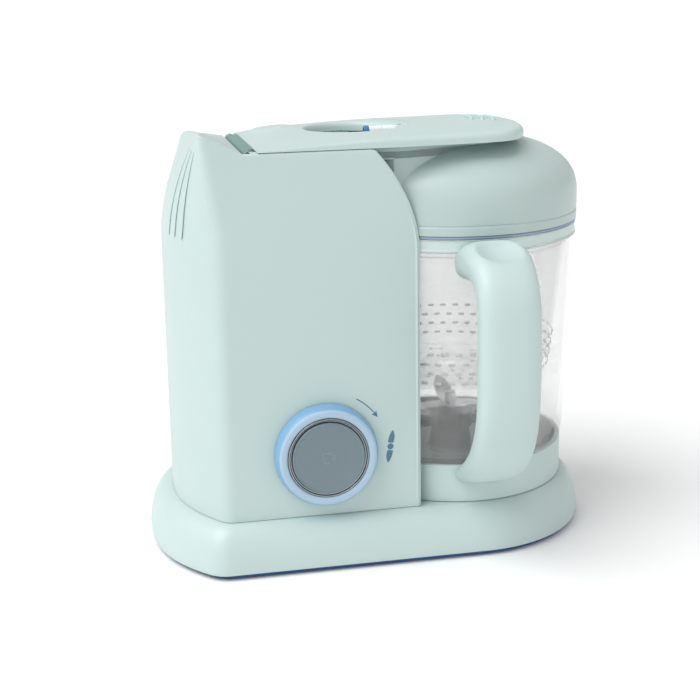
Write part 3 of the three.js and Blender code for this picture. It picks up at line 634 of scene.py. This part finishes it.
def tower_shell(name, side):
    """side is "front", towards -Y, or "rear"."""
    sign = -1 if side == "front" else 1
    inner, lip = sign * CHEEK_Y, sign * LIP_Y
    groove_at = N_RIGHT + N_FRONT
    ear_at = groove_at + N_GROOVE
    columns = [wall_column(i, sign) for i in range(ear_at + N_EAR + N_CREASE + N_END)]
    levels = [point[2] for point in columns[0]]
    tops = [column[-1] for column in columns]
    ear = ear_rows(tops[ear_at - 1:ear_at + N_EAR], tops[ear_at + N_EAR:])
    pieces = [
        columns,
        recess_rows(levels, sign),
        cheek_rows(tops[:groove_at], inner),
        groove_rows(tops[groove_at - 1:ear_at], lip, inner),
        step_rows(tops[groove_at - 1][0], lip, inner),
        ear,
        ear_wall(ear[1:], lip, sign),
    ]
    points, faces = [], []
    for rows in pieces:
        faces += sheet_faces(len(points), len(rows[0]), len(rows))
        points += [p for row in rows for p in row]
    obj = make_object(name, points, faces, mint, 34, (-50, 0, 130), weld=0.02)
    return thicken(obj, 2.0, 34)


put(tower_shell("front_shell", "front"), "machine", "mint_plastic", "tower_front_shell")
rear_shell = tower_shell("rear_shell", "rear")
slots_cut = []
for x in (-92, -84, -76, -68):
    outline = fillet([(x - 1.8, 90, 1.7), (x + 1.8, 90, 1.7), (x + 1.8, 130, 1.7), (x - 1.8, 130, 1.7)])
    slots_cut.append(extrude(f"slot{x}", outline, lambda px, pz, y: (px, y, pz), (60, 80), mint))
slots_cut.append(plug("outlet", 6, 60, 80, mint, along_y(-70, 44), 48))
carve(rear_shell, slots_cut, 34)
put(rear_shell, "machine", "mint_plastic", "tower_rear_shell")


def end_rib(name, y):
    """A fine raised line that follows the bulged end near the top."""
    path = []
    for k in range(25):
        z = lerp(199, 249, k / 24)
        yy = y * (1 + 0.10 * (k / 24))
        path.append((bulge(middle_x(z, 0), corner_x(z, 0), DEPTH, END_POWER, yy) - 0.1, yy, z))
    return tube(name, path, 1.7, mint, 20, 0.32, (-1, 0, 0.3))


for i, y in enumerate((-24, -33, -42)):
    put(end_rib(f"end_rib_{i + 1}", y), "machine", "mint_plastic")


# ---------------------------------------------------------------- base
SKIRT_FOOT, SKIRT_RISE = 3.4, 27.6


def skirt_path(flare, inset, z):
    """The skirt's outline at one height. flare is 0 at the tower and 1 at the foot."""
    half = lerp(DEPTH, 83.6, flare) - inset
    radius = lerp(DEPTH, 82.5, flare) - inset
    corner = lerp(CORNER_X, -106.5, flare) + inset
    middle = lerp(MIDDLE_X, -140, flare) + inset
    power = lerp(END_POWER, 2.6, flare)
    squash = half / radius
    path = []
    for k in range(73):
        a = -math.pi / 2 + math.pi * k / 72
        path.append((JUG_X + radius * math.cos(a), radius * math.sin(a) * squash))
    for k in range(1, 24):
        path.append((lerp(JUG_X, corner + 7, k / 24), half))
    join_y = half - 5.5
    meet = (bulge(middle, corner, half, power, join_y), join_y)
    for k in range(9):
        path.append(bezier((corner + 7, half), (corner, half), meet, k / 8))
    for k in range(1, 60):
        y = join_y * math.cos(math.pi * k / 60)
        path.append((bulge(middle, corner, half, power, y), y))
    for k in range(9):
        path.append(bezier((meet[0], -meet[1]), (corner, -half), (corner + 7, -half), k / 8))
    for k in range(1, 24):
        path.append((lerp(corner + 7, JUG_X, k / 24), -half))
    return [(x, y, z) for x, y in path]


def skirt_loops():
    loops = []
    for z in (28, 26, 20, 12, SKIRT_FOOT):
        flare = math.sqrt(max(0, 1 - ((z - SKIRT_FOOT) / SKIRT_RISE) ** 2))
        loops.append(skirt_path(flare, 2.5, z))
    loops.append(skirt_path(1, 0.8, SKIRT_FOOT))
    loops.append(skirt_path(1, 0.25, 3.6))
    for k in range(1, 25):
        a = math.pi / 2 * k / 24
        loops.append(skirt_path(math.cos(a), 0, SKIRT_FOOT + SKIRT_RISE * math.sin(a)))
    return loops


skirt = loft("skirt", skirt_loops(), mint, 34, outside=(0, 0, 16))
put(skirt, "machine", "mint_plastic", "base_skirt")

sole_levels = ((3.6, 0.8), (3.0, 1.0), (2.2, 2.6), (2.0, 3.1))
sole = loft("sole", [skirt_path(1, inset, z) for inset, z in sole_levels], navy, 34)
sole_cuts = []
for i, (x, y) in enumerate(FEET.values()):
    sole_cuts.append(plug(f"pocket{i}", 9.3, 0, 2.1, navy, along_z(x, y), 48))
screw_seat = [(0, 0), (3.6, 0), (3.6, 2.0), (2, 2.0), (2, 5), (0, 5)]
for i, (x, y) in enumerate(((-108, -40), (-108, 40), (62, -66), (62, 66))):
    sole_cuts.append(lathe(f"recess{i}", screw_seat, navy, along_z(x, y), 32, closed=False))
for i, x in enumerate((-44, -30, -16, -2)):
    outline = fillet([(x - 2.2, 30, 2), (x + 2.2, 30, 2), (x + 2.2, 56, 2), (x - 2.2, 56, 2)])
    sole_cuts.append(extrude(f"vent{i}", outline, lambda px, py, z: (px, py, z), (0, 5), navy))
carve(sole, sole_cuts, 34)
put(sole, "machine", "navy_plastic", "base_sole")

for name, (x, y) in FEET.items():
    profile = [(0, 0.0)] + [(r, 0.0 if i % 2 else 0.35) for i, r in enumerate((3.0, 3.4, 5.2, 5.6, 7.2))]
    profile += fillet([(7.6, 0, 0), (9, 0, 0.5), (9, 1.8, 0.2), (0, 1.8, 0)], closed=False)
    foot = lathe(f"pad_{name}", profile, rubber, along_z(x, y), 64, closed=False)
    put(foot, "machine", "rubber_pad", f"foot_{name}")


# ---------------------------------------------------------------- dial
def ring(name, corners, material, place, steps=160, sharp=36):
    return lathe(name, fillet(corners), material, place, steps, sharp)


dial = along_front(*KNOB)
knob_side = ring("dial_body", [
    (24.6, 0.35, 0), (31.2, 0.35, 0.2), (31.2, 2.0, 0.5),
    (30.4, 6.6, 1.2), (29.5, 8.3, 0.4), (24.6, 8.3, 0),
], sky, dial)
knob_face = ring("dial_face", [
    (24.5, 7.4, 0.2), (29.6, 7.4, 0.3), (29.2, 8.8, 0.9),
    (27.9, 9.5, 0.9), (25.6, 9.45, 0.6), (24.5, 8.7, 0.3),
], periwinkle, dial)
join(knob_side, knob_face)
put(knob_side, "knob", "periwinkle_plastic", "knob_ring")
bezel = ring("dial_bezel", [
    (22.1, -3.4, 0.2), (24.2, -3.4, 0.2), (24.2, 9.0, 0.5),
    (23.4, 9.2, 0.3), (22.9, 8.3, 0.3), (22.1, 8.2, 0.3),
], chrome, dial)
put(bezel, "machine", "chrome_trim", "knob_bezel")
button = lathe("steam_key", fillet([
    (0, 4.8, 0), (21.7, 4.8, 0.2), (21.7, 9.6, 0.6), (20.9, 9.9, 0.3),
    (20.2, 9.5, 0.4), (12, 9.2, 4), (0, 9.05, 0),
], closed=False), slate, dial, 160, 36, closed=False)
put(button, "button", "slate_plastic", "steam_button")


def front_path(points, lift):
    """Points (x, z) on the front, lift mm forwards of the front face."""
    return [(x, -DEPTH - lift, z) for x, z in points]


def arc_points(centre, radius, first, last, steps):
    """Points on an arc, from one angle in degrees to another."""
    angles = [math.radians(lerp(first, last, k / steps)) for k in range(steps + 1)]
    return [(centre[0] + radius * math.cos(a), centre[1] + radius * math.sin(a)) for a in angles]


KEY_LIFT = 9.16  # the height of the key's mark above the front face


def puff_icon():
    """A puff of three arcs with three short wavy lines, drawn as fine raised lines on the key."""
    cx, cz = KNOB
    arcs = [(-1.9, 1.4, 1.9, 60, 250), (-1.2, -1.8, 1.7, 150, 330), (0.4, 1.9, 1.3, -20, 150)]
    made = []
    for i, (x, z, r, a0, a1) in enumerate(arcs):
        pts = arc_points((cx + x, cz + z), r, a0, a1, 14)
        made.append(tube(f"puff{i}", front_path(pts, KEY_LIFT), 0.17, icon_pale, 6, 0.6, (0, -1, 0)))
    for i, z in enumerate((-1.3, 0.0, 1.3)):
        pts = [(cx + 1.6 + 2.6 * k / 10, cz + z + 0.32 * math.sin(k * 0.9)) for k in range(11)]
        made.append(tube(f"wisp{i}", front_path(pts, KEY_LIFT), 0.15, icon_pale, 6, 0.6, (0, -1, 0)))
    return join(*made)


put(puff_icon(), "button", "slate_plastic").name = "steam_mark"


PRINT = 0.06  # how far a printed mark stands out


def flat_plate(name, outline, lift, material):
    """A thin printed shape on the front, given as (x, z) points."""
    return extrude(name, outline, lambda x, z, y: (x, -DEPTH - y, z), (-0.05, lift), material, 40)


def arrow_mark():
    """A curved arrow that follows the dial's edge."""
    centre = (KNOB[0] + 0.6, KNOB[1] + 0.6)
    pts = arc_points(centre, 36.5, 60, 36, 20)
    shaft = []
    for sign in (1, -1):
        for k, (x, z) in enumerate(pts if sign > 0 else reversed(pts)):
            a = math.atan2(z - centre[1], x - centre[0])
            shaft.append((x + sign * 0.33 * math.cos(a), z + sign * 0.33 * math.sin(a)))
    tip, heading = Vector(pts[-1]), (Vector(pts[-1]) - Vector(pts[-2])).normalized()
    side = Vector((-heading.y, heading.x))
    left, right = tip - heading * 1.4 + side * 1.9, tip - heading * 1.4 - side * 1.9
    head = [tuple(p) for p in (tip + heading * 2.6, left, tip - heading * 0.5, right)]
    drawn = flat_plate("arrow_shaft", shaft, PRINT, icon_blue)
    return join(drawn, flat_plate("arrow_head", head, PRINT, icon_blue))


def rotor_mark():
    """A plain two-bladed rotor: a dot between two curved leaves."""
    cx, cz = 0.6, 71.0
    angles = [2 * math.pi * k / 28 for k in range(28)]
    dot = [(cx + 1.9 * math.cos(a), cz + 1.9 * math.sin(a)) for a in angles]
    made = [flat_plate("rotor_dot", dot, PRINT, icon_blue)]
    for i, turn in enumerate((1, -1)):
        leaf = []
        for k in range(13):
            t = k / 12
            leaf.append((cx + turn * (-1.5 + 0.4 * t + 2.3 * t * t), cz + turn * (2.6 + 7.4 * t)))
        for k in range(13):
            t = 1 - k / 12
            out = 1.7 + 0.9 * math.sin(t * 3.0)
            leaf.append((cx + turn * out, cz + turn * (2.6 + 7.4 * t - 0.5 * (1 - t))))
        made.append(flat_plate(f"rotor_leaf{i}", leaf, PRINT, icon_blue))
    return join(*made)


put(arrow_mark(), "machine", "slate_plastic").name = "turn_mark"
put(rotor_mark(), "machine", "slate_plastic").name = "rotor_mark"


# ---------------------------------------------------------------- jug
jug = along_z(JUG_X, 0)
collar = ring("collar", [
    (68, 31.3, 0.2), (71, 31.3, 0.6), (71, 54.8, 0.8), (68, 54.8, 0.3),
    (68, 43, 0.3), (16, 43, 0.4), (16, 40, 0.4), (68, 40, 0.3),
], mint, jug, 200)
put(collar, "jug", "mint_plastic", "jug_collar")

BOWL_OUT = [(71, 55.1), (73.2, 75), (78.1, 175), (78.1, 187.7)]


def bowl_radius(z):
    for (r0, z0), (r1, z1) in zip(BOWL_OUT, BOWL_OUT[1:]):
        if z <= z1:
            return lerp(r0, r1, clamp((z - z0) / (z1 - z0)))
    return 78.1


def fluted(r, h, a):
    """Twelve shallow upright flutes inside the bowl."""
    if 77 < h < 177 and 69 < r < 76:
        phase = (a * 12 / (2 * math.pi) + 0.13) % 1.0
        gap = min(phase, 1 - phase)
        return r + 0.55 * math.exp(-((gap / 0.030) ** 2))
    return r


bowl = lathe("bowl", fillet([
    (14, 43.3, 0.3), (30, 43.3, 0), (52, 43.3, 0.4), (54, 44.6, 0.6),
    (58, 44.6, 0.6), (60, 43.3, 0.5), (67.6, 43.3, 0.8),
    (67.6, 55.1, 0.3), (71, 55.1, 0.6), (71.9, 60.0, 1.2), (72.4, 66.5, 1.2),
    (73.3, 77, 2), (78.1, 175, 4), (78.1, 187.7, 0.5),
    (75.1, 187.7, 0.5), (75.1, 176.5, 0.6), (75.0, 176, 0), (70.1, 78, 0),
    (70.0, 76, 1), (68.5, 66, 4), (66, 57, 3), (61, 50.5, 3),
    (56, 48.2, 1.2), (52, 49.6, 1.0), (47, 49.6, 1.0), (42, 47.2, 1.5), (24, 46.2, 1), (14, 46, 0.3),
]), clear, jug, 360, 30, radius_at=fluted)
put(bowl, "jug", "clear_plastic", "jug_bowl")

rim = ring("rim_band", [
    (75.3, 188, 0.3), (78.4, 188, 0.4), (78.3, 189.3, 0.3), (77.9, 190.0, 0.3),
    (77.9, 194.6, 0.4), (78.4, 195.6, 0.5), (75.3, 195.6, 0.4),
], frosted, jug, 200)
put(rim, "jug", "frosted_plastic", "jug_rim_ring")

basket_profile = fillet([
    (9, 98, 0.4), (56, 98, 1.5), (60.6, 100.2, 2.5), (62.6, 106, 2),
    (72.4, 184.3, 0.3), (74.6, 184.3, 0.4), (74.6, 186.6, 0.4),
    (70.6, 186.6, 0.8), (61.2, 107, 2), (59.0, 102, 2), (55, 100.4, 1), (9, 100.4, 0.4),
])
basket = lathe("basket", basket_profile, milky, jug, 240, 30)
drains = []
for row in (1, 2):
    for i in range(4 * row):
        angle = math.pi * i / (2 * row)
        at = along_z(JUG_X + 18 * row * math.cos(angle), 18 * row * math.sin(angle))
        drains.append(plug(f"drain{row}_{i}", 4, 95, 103, milky, at, 32))
carve(basket, drains, 30)
put(basket, "jug", "frosted_plastic", "steam_basket")


def basket_bars():
    """Rows of small raised bars round the foot of the basket."""
    b = bmesh.new()
    for row in range(4):
        z = 104 + row * 6.2
        radius = lerp(61.4, 72.4, (z - 101) / 83.3) + 0.9
        for k in range(48):
            a = 2 * math.pi * (k + 0.5 * (row % 2)) / 48
            at = Vector((JUG_X + radius * math.cos(a), radius * math.sin(a), z)) * MM
            spin = Matrix.Translation(at) @ Matrix.Rotation(a, 4, "Z")
            bmesh.ops.create_cube(b, size=1.0, matrix=spin @ Matrix.Diagonal((0.0008, 0.0040, 0.0018, 1)))
    bmesh.ops.bevel(b, geom=list(b.edges), offset=0.0003, segments=2, affect="EDGES")
    mesh = bpy.data.meshes.new("basket_bars")
    b.to_mesh(mesh)
    b.free()
    mesh.shade_smooth()
    mesh.materials.append(pale_bar)
    obj = bpy.data.objects.new("basket_bars", mesh)
    scene.collection.objects.link(obj)
    return obj


put(basket_bars(), "jug", "frosted_plastic")

# y, height, half thickness, half width, with y measured from the jug's axis
HANDLE = [
    (-80.2, 183, 11, 19), (-90, 185.5, 11.5, 19.5), (-103, 184, 10.5, 19), (-114, 178, 9.5, 18),
    (-120, 166, 9.5, 18), (-121.9, 146, 9.5, 18), (-121.9, 118, 9.5, 18), (-119, 96, 9.5, 18),
    (-110, 77, 9.5, 18), (-97, 64, 8.5, 18), (-84, 56, 7, 17.5), (-70.6, 49, 5, 16.5),
]


DISH_R, DISH_EDGE = 30.2, 30.4


def pressed(point):
    """A point of the handle with the thumb rest, an oval dish, pressed into the top."""
    px, py, pz = point
    away = Vector((px * 1.12, py, pz)) - Vector((0, -109, 218.8))
    if away.length < DISH_EDGE:
        depth = smooth((DISH_EDGE - away.length) / 0.9)
        move = away.normalized() * (DISH_R - away.length) * depth
        return px + move.x * 0.2, py + move.y, pz + move.z
    return point


def handle():
    stations = [(-74.5, 181.5, 10.5, 18.6)] + catmull(HANDLE, 7)
    loops = []
    count = len(stations)
    for i, (y, z, thick, wide) in enumerate(stations):
        a, b = stations[max(0, i - 1)], stations[min(count - 1, i + 1)]
        along = Vector((b[0] - a[0], b[1] - a[1])).normalized()
        loop = []
        for k in range(72):
            angle = 2 * math.pi * k / 72
            c, s = math.cos(angle), math.sin(angle)
            across = wide * math.copysign(abs(c) ** 0.62, c)
            out = thick * math.copysign(abs(s) ** 0.72, s)
            px, py, pz = pressed((across, y - out * along.y, z + out * along.x))
            radius = math.hypot(px, py)
            keep = (71.3 if pz < 55.4 else bowl_radius(pz) + 0.3)
            if radius < keep:
                px, py = px * keep / radius, py * keep / radius
            loop.append((JUG_X + px, py, pz))
        loops.append(loop)
    return loft("handle", loops, mint, 60, outside=(JUG_X, -110, 120))


put(handle(), "jug", "mint_plastic", "jug_handle")


# ---------------------------------------------------------------- blades
housing = lathe("blade_seat", fillet([
    (4.1, 40.2, 0.2), (13.5, 40.2, 0.4), (13.5, 50, 1.5), (10.5, 66, 1.2), (4.1, 66, 0.3),
]), black, jug, 96)
put(housing, "jug", "black_plastic", "blade_housing")
hub = ring("blade_cap", [
    (3.9, 66.4, 0.2), (12.4, 66.4, 0.2), (12.4, 58, 0.4), (14.4, 58, 0.5),
    (14.4, 68.4, 1.2), (11.8, 70.9, 1.0), (3.9, 70.9, 0.3),
], black, jug, 96)


def wing(name, side):
    """An upright wing with a gently scalloped top, thinner at its tip."""
    loops = []
    for k in range(25):
        x = lerp(13.0, 31.0, k / 24)
        thick = lerp(3.0, 1.1, (k / 24) ** 2)
        top = 65.3 - 0.9 * abs(math.sin(k * 0.42)) - 1.2 * smooth((x - 27) / 4)
        bend = 0.8 * math.sin((x - 13) / 18 * math.pi)
        shift = bend * (1 if thick < 2.2 else 0.5)
        corners = [(-thick, 58, 0.5), (thick, 58, 0.5), (thick, top, 0.6), (-thick, top, 0.6)]
        outline = fillet(corners, steps=3)
        loops.append([(JUG_X + side * x, side * (y + shift), z) for y, z in outline])
    return loft(name, loops, black, 34)


join(hub, wing("wing_right", 1), wing("wing_left", -1))
put(hub, "blade", "black_plastic", "blade_hub")


# x along the blade, and its two edges there
BLADE = [
    (-34, -0.5, 1.5), (-30, -2.6, 4.2), (-25, -4.2, 5.8), (-20, -5, 6.5), (-13, -5.5, 5.5),
    (13, -5.5, 5.5), (20, -6.5, 5), (25, -5.8, 4.2), (30, -4.2, 2.6), (34, -1.5, 0.5),
]


def cutter(name, low, high, turn):
    """A steel blade with curved, ground ends."""
    loops = []
    for x, y0, y1 in catmull(BLADE, 4):
        lift = clamp((abs(x) - 12) / 22)
        z = lerp(low, high, lift ** 1.4)
        ground = 0.45 * smooth(lift * 2)
        corners = ((y0, z + ground), (y1, z), (y1, z + 1.4 - ground), (y0, z + 1.4))
        section = fillet([(*corner, 0.15) for corner in corners], steps=2)
        c, s = math.cos(turn), math.sin(turn)
        loops.append([(JUG_X + x * c - y * s, x * s + y * c, height) for y, height in section])
    made = loft(name, loops, blade_steel, 30)
    bore = plug("bore", 3.9, 60, 90, blade_steel, jug, 32)
    return carve(made, [bore], 30)


put(cutter("lower_cutter", 71.3, 66.8, 0), "blade", "steel", "blade_lower")
put(cutter("upper_cutter", 73.3, 80, math.pi / 2), "blade", "steel", "blade_upper")


# ---------------------------------------------------------------- lid
DOME_FOOT = [
    (LID_R, 197.9, 0.5), (LID_R, 202.6, 0.4), (78.2, 203.3, 0.4), (78.7, 204.2, 0.5), (LID_R, 208, 0.2),
]
DOME_Z, DOME_RISE = 212, 37.75
DOME_POWER = 2 / 2.55


def dome():
    outer = fillet(DOME_FOOT + [(LID_R, DOME_Z, 0)], closed=False, steps=10)
    for k in range(1, 61):
        a = math.pi / 2 * k / 60
        radius = LID_R * math.cos(a) ** DOME_POWER if k < 60 else 0.0
        outer.append((radius, DOME_Z + DOME_RISE * math.sin(a) ** DOME_POWER))
    inner = [(max(0.0, r - 2.4), z - 2.2) for r, z in reversed(outer) if z > 208.5]
    inner[0] = (0.0, outer[-1][1] - 2.6)
    return lathe("dome", outer + inner + [(74.2, 206), (74.2, 197.9)], mint_lid_painted_shade, jug, 240, 30)


BRIDGE_EDGE = [
    (-73.8, 59.5), (-40, 59.5), (-10, 59.5), (10, 59.4), (24, 56.0), (33, 52.6),
    (43, 48.2), (54, 45), (68, 41), (79, 31.5), (86, 16), (88, 0),
]


def bridge_outline(inset=0.0):
    half = catmull(BRIDGE_EDGE, 8)
    keep = [(x, y - inset * clamp(y / 10)) for x, y in half]
    return keep + [(x, -y) for x, y in reversed(keep[:-1])]


def bridge_part(name, levels, low, limit):
    """One thickness of the bridge, with the rear of its top following the tower's slope."""
    loops = []
    for z, inset in levels:
        loop = []
        for x, y in bridge_outline(inset):
            top = max(low + 0.2, limit - rear_drop(y))
            loop.append((x, y, low + (z - low) * min(1, (top - low) / (limit - low))))
        loops.append(loop)
    return loft(name, loops, mint_lid_painted_shade, 30)


def bridge():
    """The slab between the tower's cheeks and the neck that blends it into the dome."""
    slab = bridge_part("bridge_slab", [(242.1, 0.4), (242.5, 0), (246.8, 0), (247.3, 0.5)], 242.1, 247.3)
    raised_levels = [(242.2, 0.3), (243, 0), (247.6, 0), (249.0, 0.4), (249.6, 1.3)]
    raised = bridge_part("bridge_raised", raised_levels, 242.2, 249.6)
    left_part = make_box("left_part", (-100, -100, 240), (-14, 100, 260))
    over_core = make_box("over_core", (-15, -54.1, 247.3), (0, 24.2, 260))
    carve(raised, [left_part, over_core], 30)
    neck = bridge_part("bridge_neck", [(222, 0), (230, 0), (238, 0), (243, 0), (246, 0)], 222, 246)
    carve(neck, [make_box("left_of_neck", (-100, -100, 215), (0, 100, 260))], 30)
    keep = plug("within_lid", 78.3, 215, 260, mint_lid_painted_shade, jug, 160)
    return slab, raised, intersect(neck, keep)


def dome_space(name):
    """The hollow under the dome."""
    profile = [
        (0, 190), (74.4, 190), (74.4, 212), (71.6, 226), (67, 233),
        (58, 238.6), (46, 243), (30, 246), (0, 246.8),
    ]
    return lathe(name, profile, mint_lid_painted_shade, jug, 96, closed=False)


def barrel_arc(first, step, count):
    """Points round the hinge's axis, from an angle in degrees."""
    angles = [math.radians(first + step * k) for k in range(count)]
    return [(HINGE[0] + BARREL_R * math.cos(a), HINGE[1] + BARREL_R * math.sin(a)) for a in angles]


def arms():
    made = []
    for i, (y0, y1) in enumerate(((-59.9, -54), (24, 29.8))):
        outline = barrel_arc(90, 15, 13) + [(-71, 243.7), (-71, 247.3), (-75, 250.0)]
        # The arms take the dark mint that paints the groove's shade.
        made.append(extrude(f"arm{i}", outline, lambda x, z, y: (x, y, z), (y0, y1), groove_painted_shade, 40))
    return made


lid = dome()
slab, raised, neck = bridge()
for i, part in enumerate((slab, raised, neck)):
    carve(part, [dome_space(f"space_{i + 1}")], 30)
carve(slab, [plug("steam_hole", 6, 230, 260, mint_lid_painted_shade, along_z(TANK_X, 0), 40)], 30)
join(lid, slab, raised, neck, *arms())
put(lid, "lid", "mint_plastic", "lid_shell")

gasket = ring("lip_seal", [
    (74.6, 195.9, 0.3), (78.0, 195.9, 0.3), (78.5, 196.7, 0.4), (78.0, 197.6, 0.3), (74.6, 197.6, 0.3),
], seal_blue, jug, 200)
put(gasket, "lid", "silicone", "lid_seal")


# ---------------------------------------------------------------- lever
# station x, half width, height of the side wall, height of the crown
LEVER = [
    (-74.2, 69.7, 0.5, 1.0), (-56, 69.7, 1.7, 4.2), (-38, 69.7, 3.0, 5.1),
    (-20, 69.7, 4.2, 6.0), (-4, 69.7, 5.0, 6.6),
    (14, 69.0, 5.6, 7.1), (36, 67.4, 5.8, 7.4), (54, 65.8, 5.8, 7.7),
    (66, 64.0, 5.8, 7.9), (75, 61.2, 5.8, 7.7),
    (82, 55.8, 5.8, 7.2), (88, 46.8, 5.7, 6.5), (92.5, 37.5, 5.6, 6.0), (96, 26.5, 5.5, 5.7),
    (98.2, 14.5, 5.4, 5.5), (99.3, 2.5, 5.2, 5.3),
]
LEVER_FINE = catmull(LEVER, 14)


def lever_at(x):
    for one, two in zip(LEVER_FINE, LEVER_FINE[1:]):
        if x <= two[0]:
            t = clamp((x - one[0]) / (two[0] - one[0]))
            return tuple(lerp(a, b, t) for a, b in zip(one[1:], two[1:]))
    return LEVER_FINE[-1][1:]


def lever_height(x, y):
    """Height of the lever's top above its underside."""
    half, edge, crown = lever_at(x)
    t = min(1.0, abs(y) / half)
    height = edge + (crown - edge) * (1 - t ** 2.0)
    slope = lever_at(x + 0.5)[0] - lever_at(x - 0.5)[0]
    inside = (half - abs(y)) / math.hypot(1, slope)
    radius = lerp(0.5, 3.4, smooth((x + 66) / 100))
    radius = min(radius, edge * 0.75)
    if inside < radius:
        height -= radius - math.sqrt(max(0.0, radius ** 2 - (radius - inside) ** 2))
    pad = smooth((x + 66.5) / 2.5) * smooth((-33 - x) / 16) * smooth((y + 2) / 3) * smooth((24 - y) / 4)
    height += 1.6 * pad
    return max(0.3, height)


def lever():
    xs = [lerp(-74.2, 88, k / 108) for k in range(109)] + [row[0] for row in LEVER_FINE if row[0] > 88.4]
    steps = [math.sin(math.pi / 2 * k / 60) for k in range(-60, 61)]
    loops = []
    for x in xs:
        half = lever_at(x)[0]
        loop = [(x, half * k / 12, LEVER_Z - rear_drop(half * k / 12)) for k in range(12, -13, -1)]
        for t in steps:
            y = t * half
            loop.append((x, y, LEVER_Z + lever_height(x, y) - rear_drop(y)))
        loops.append(loop)
    return loft("lever", loops, mint, 40, outside=(0, 0, 253))


def hole_cutter():
    x, y, r = HOLE
    profile = [(0, 230), (r, 230), (r, 252.6)]
    for k in range(1, 9):
        a = math.pi / 2 * k / 8
        profile.append((r + 2.8 * (1 - math.cos(a)), 252.6 + 3.4 * math.sin(a)))
    profile += [(r + 9, 256.9), (r + 9, 280), (0, 280)]
    return lathe("hole_cutter", profile, mint, along_z(x, y), 128, closed=False)


def lever_core():
    """The thicker middle of the underside, with the hinge barrel, in a dark mint that is painted shade for
    the groove.
    """
    outline = barrel_arc(100, 14, 15) + [(-74, 247.6), (-3, 247.6), (-3, 250.8), (-75, 250.8)]
    return extrude("lever_core", outline, lambda x, z, y: (x, y, z), (-53.7, 23.7), groove_painted_shade, 40)


def grip_ribs():
    made = []
    for i, x0 in enumerate((67, 74, 81)):
        path = []
        for k in range(25):
            y = lerp(-13, 13, k / 24)
            x = x0 + 2.4 * (1 - (y / 13) ** 2)
            path.append((x, y, LEVER_Z + lever_height(x, y) + 0.45 - 1.8 * abs(y / 13) ** 6))
        made.append(tube(f"grip{i}", path, 1.3, mint, 16))
    return made


top_lever = lever()
x, y, r = HOLE
slot_outline = fillet([(y - 3.2, 240, 0), (y + 3.2, 240, 0), (y + 3.2, 256.3, 2.6), (y - 3.2, 256.3, 2.6)])
slot_cutter = extrude("slot_cutter", slot_outline, lambda py, pz, px: (px, py, pz), (10, 42), mint)
core = lever_core()
carve(core, [plug("core_hole", r, 230, 260, mint, along_z(x, y), 96)], 34)
carve(top_lever, [hole_cutter(), slot_cutter], 34)
join(top_lever, core, *grip_ribs())
put(top_lever, "lever", "mint_plastic", "lever_plate")

latch = along_x(HOLE[1], LATCH_Z)
slider = lathe("latch_barrel", fillet([
    (1.6, 4, 0.2), (2.9, 4, 0.3), (2.9, 12, 0.1), (2.7, 12.4, 0.1), (2.7, 13.2, 0.1),
    (2.9, 13.6, 0.1), (2.9, 32, 0.5), (0, 32, 0), (0, 9, 0), (1.6, 9, 0),
]), white, latch, 64)
put(slider, "latch", "white_plastic", "latch_slider")
cap = ring("latch_ring", [
    (1.6, 0.8, 0.4), (3.1, 0.8, 0.6), (3.1, 3.7, 0.4), (1.6, 3.7, 0.3),
], ring_blue, latch, 64)
put(cap, "latch", "navy_plastic", "latch_cap")

# ---------------------------------------------------------------- carried-over pieces
for entry in frame["record"]["subparts"]:
    node = NODES[entry["node"]]
    node.data.materials.clear()
    node.data.materials.append(SLOT_MATERIALS[entry["material_slot"]])
    node.data.shade_smooth()
    if entry["node"] not in ("button_spring", "latch_spring"):
        node.data.set_sharp_from_angle(angle=math.radians(28))

# ---------------------------------------------------------------- stage, light, camera
n = Nodes("pale floor")
paper = n.colour(n.noise(3, 3).outputs["Fac"], (0.90, 0.905, 0.905), (0.93, 0.93, 0.93))
n.drive("Base Color", paper)
n.drive("Roughness", n.ramp(n.noise(60, 3).outputs["Fac"], 0.3, 0.7, 0.75, 0.9))
FLOOR_STEP = 12000
floor_points = [(x * FLOOR_STEP, y * FLOOR_STEP, 0) for y in range(-6, 7) for x in range(-6, 7)]
floor = make_object("floor", floor_points, sheet_faces(0, 13, 13), n.mat, 60)

world = bpy.data.worlds.new("studio")
world.use_nodes = True
world.node_tree.nodes["Background"].inputs["Color"].default_value = (1.0, 1.0, 1.0, 1)
world.node_tree.nodes["Background"].inputs["Strength"].default_value = 0.62
scene.world = world
scene.view_settings.view_transform = "Standard"


def soft_sun(name, place, power, spread):
    """An even, very soft light from far away, so the whole floor is equally bright."""
    data = bpy.data.lights.new(name, "SUN")
    data.energy = power
    data.angle = math.radians(spread)
    light = bpy.data.objects.new(name, data)
    light.rotation_euler = Vector(place).to_track_quat("Z", "Y").to_euler()
    scene.collection.objects.link(light)


soft_sun("key", (-0.56, -0.18, 0.80), 2.25, 50)
soft_sun("fill", (-0.10, -0.75, 0.60), 0.25, 90)

camera_data = bpy.data.cameras.new("camera")
camera_data.sensor_width = 36
camera_data.lens = 70.09
camera_data.shift_x = 0.011
camera_data.shift_y = -0.08
camera = bpy.data.objects.new("camera", camera_data)
right = Vector((0.98023, -0.19714, -0.01676))
up = Vector((0.06107, 0.2209, 0.97338))
back = -Vector((0.18819, 0.95516, -0.22857))
turn = Matrix((right, up, back)).transposed().to_4x4()
camera.matrix_world = Matrix.Translation((-0.17591, -0.82464, 0.34715)) @ turn
scene.collection.objects.link(camera)
scene.camera = camera
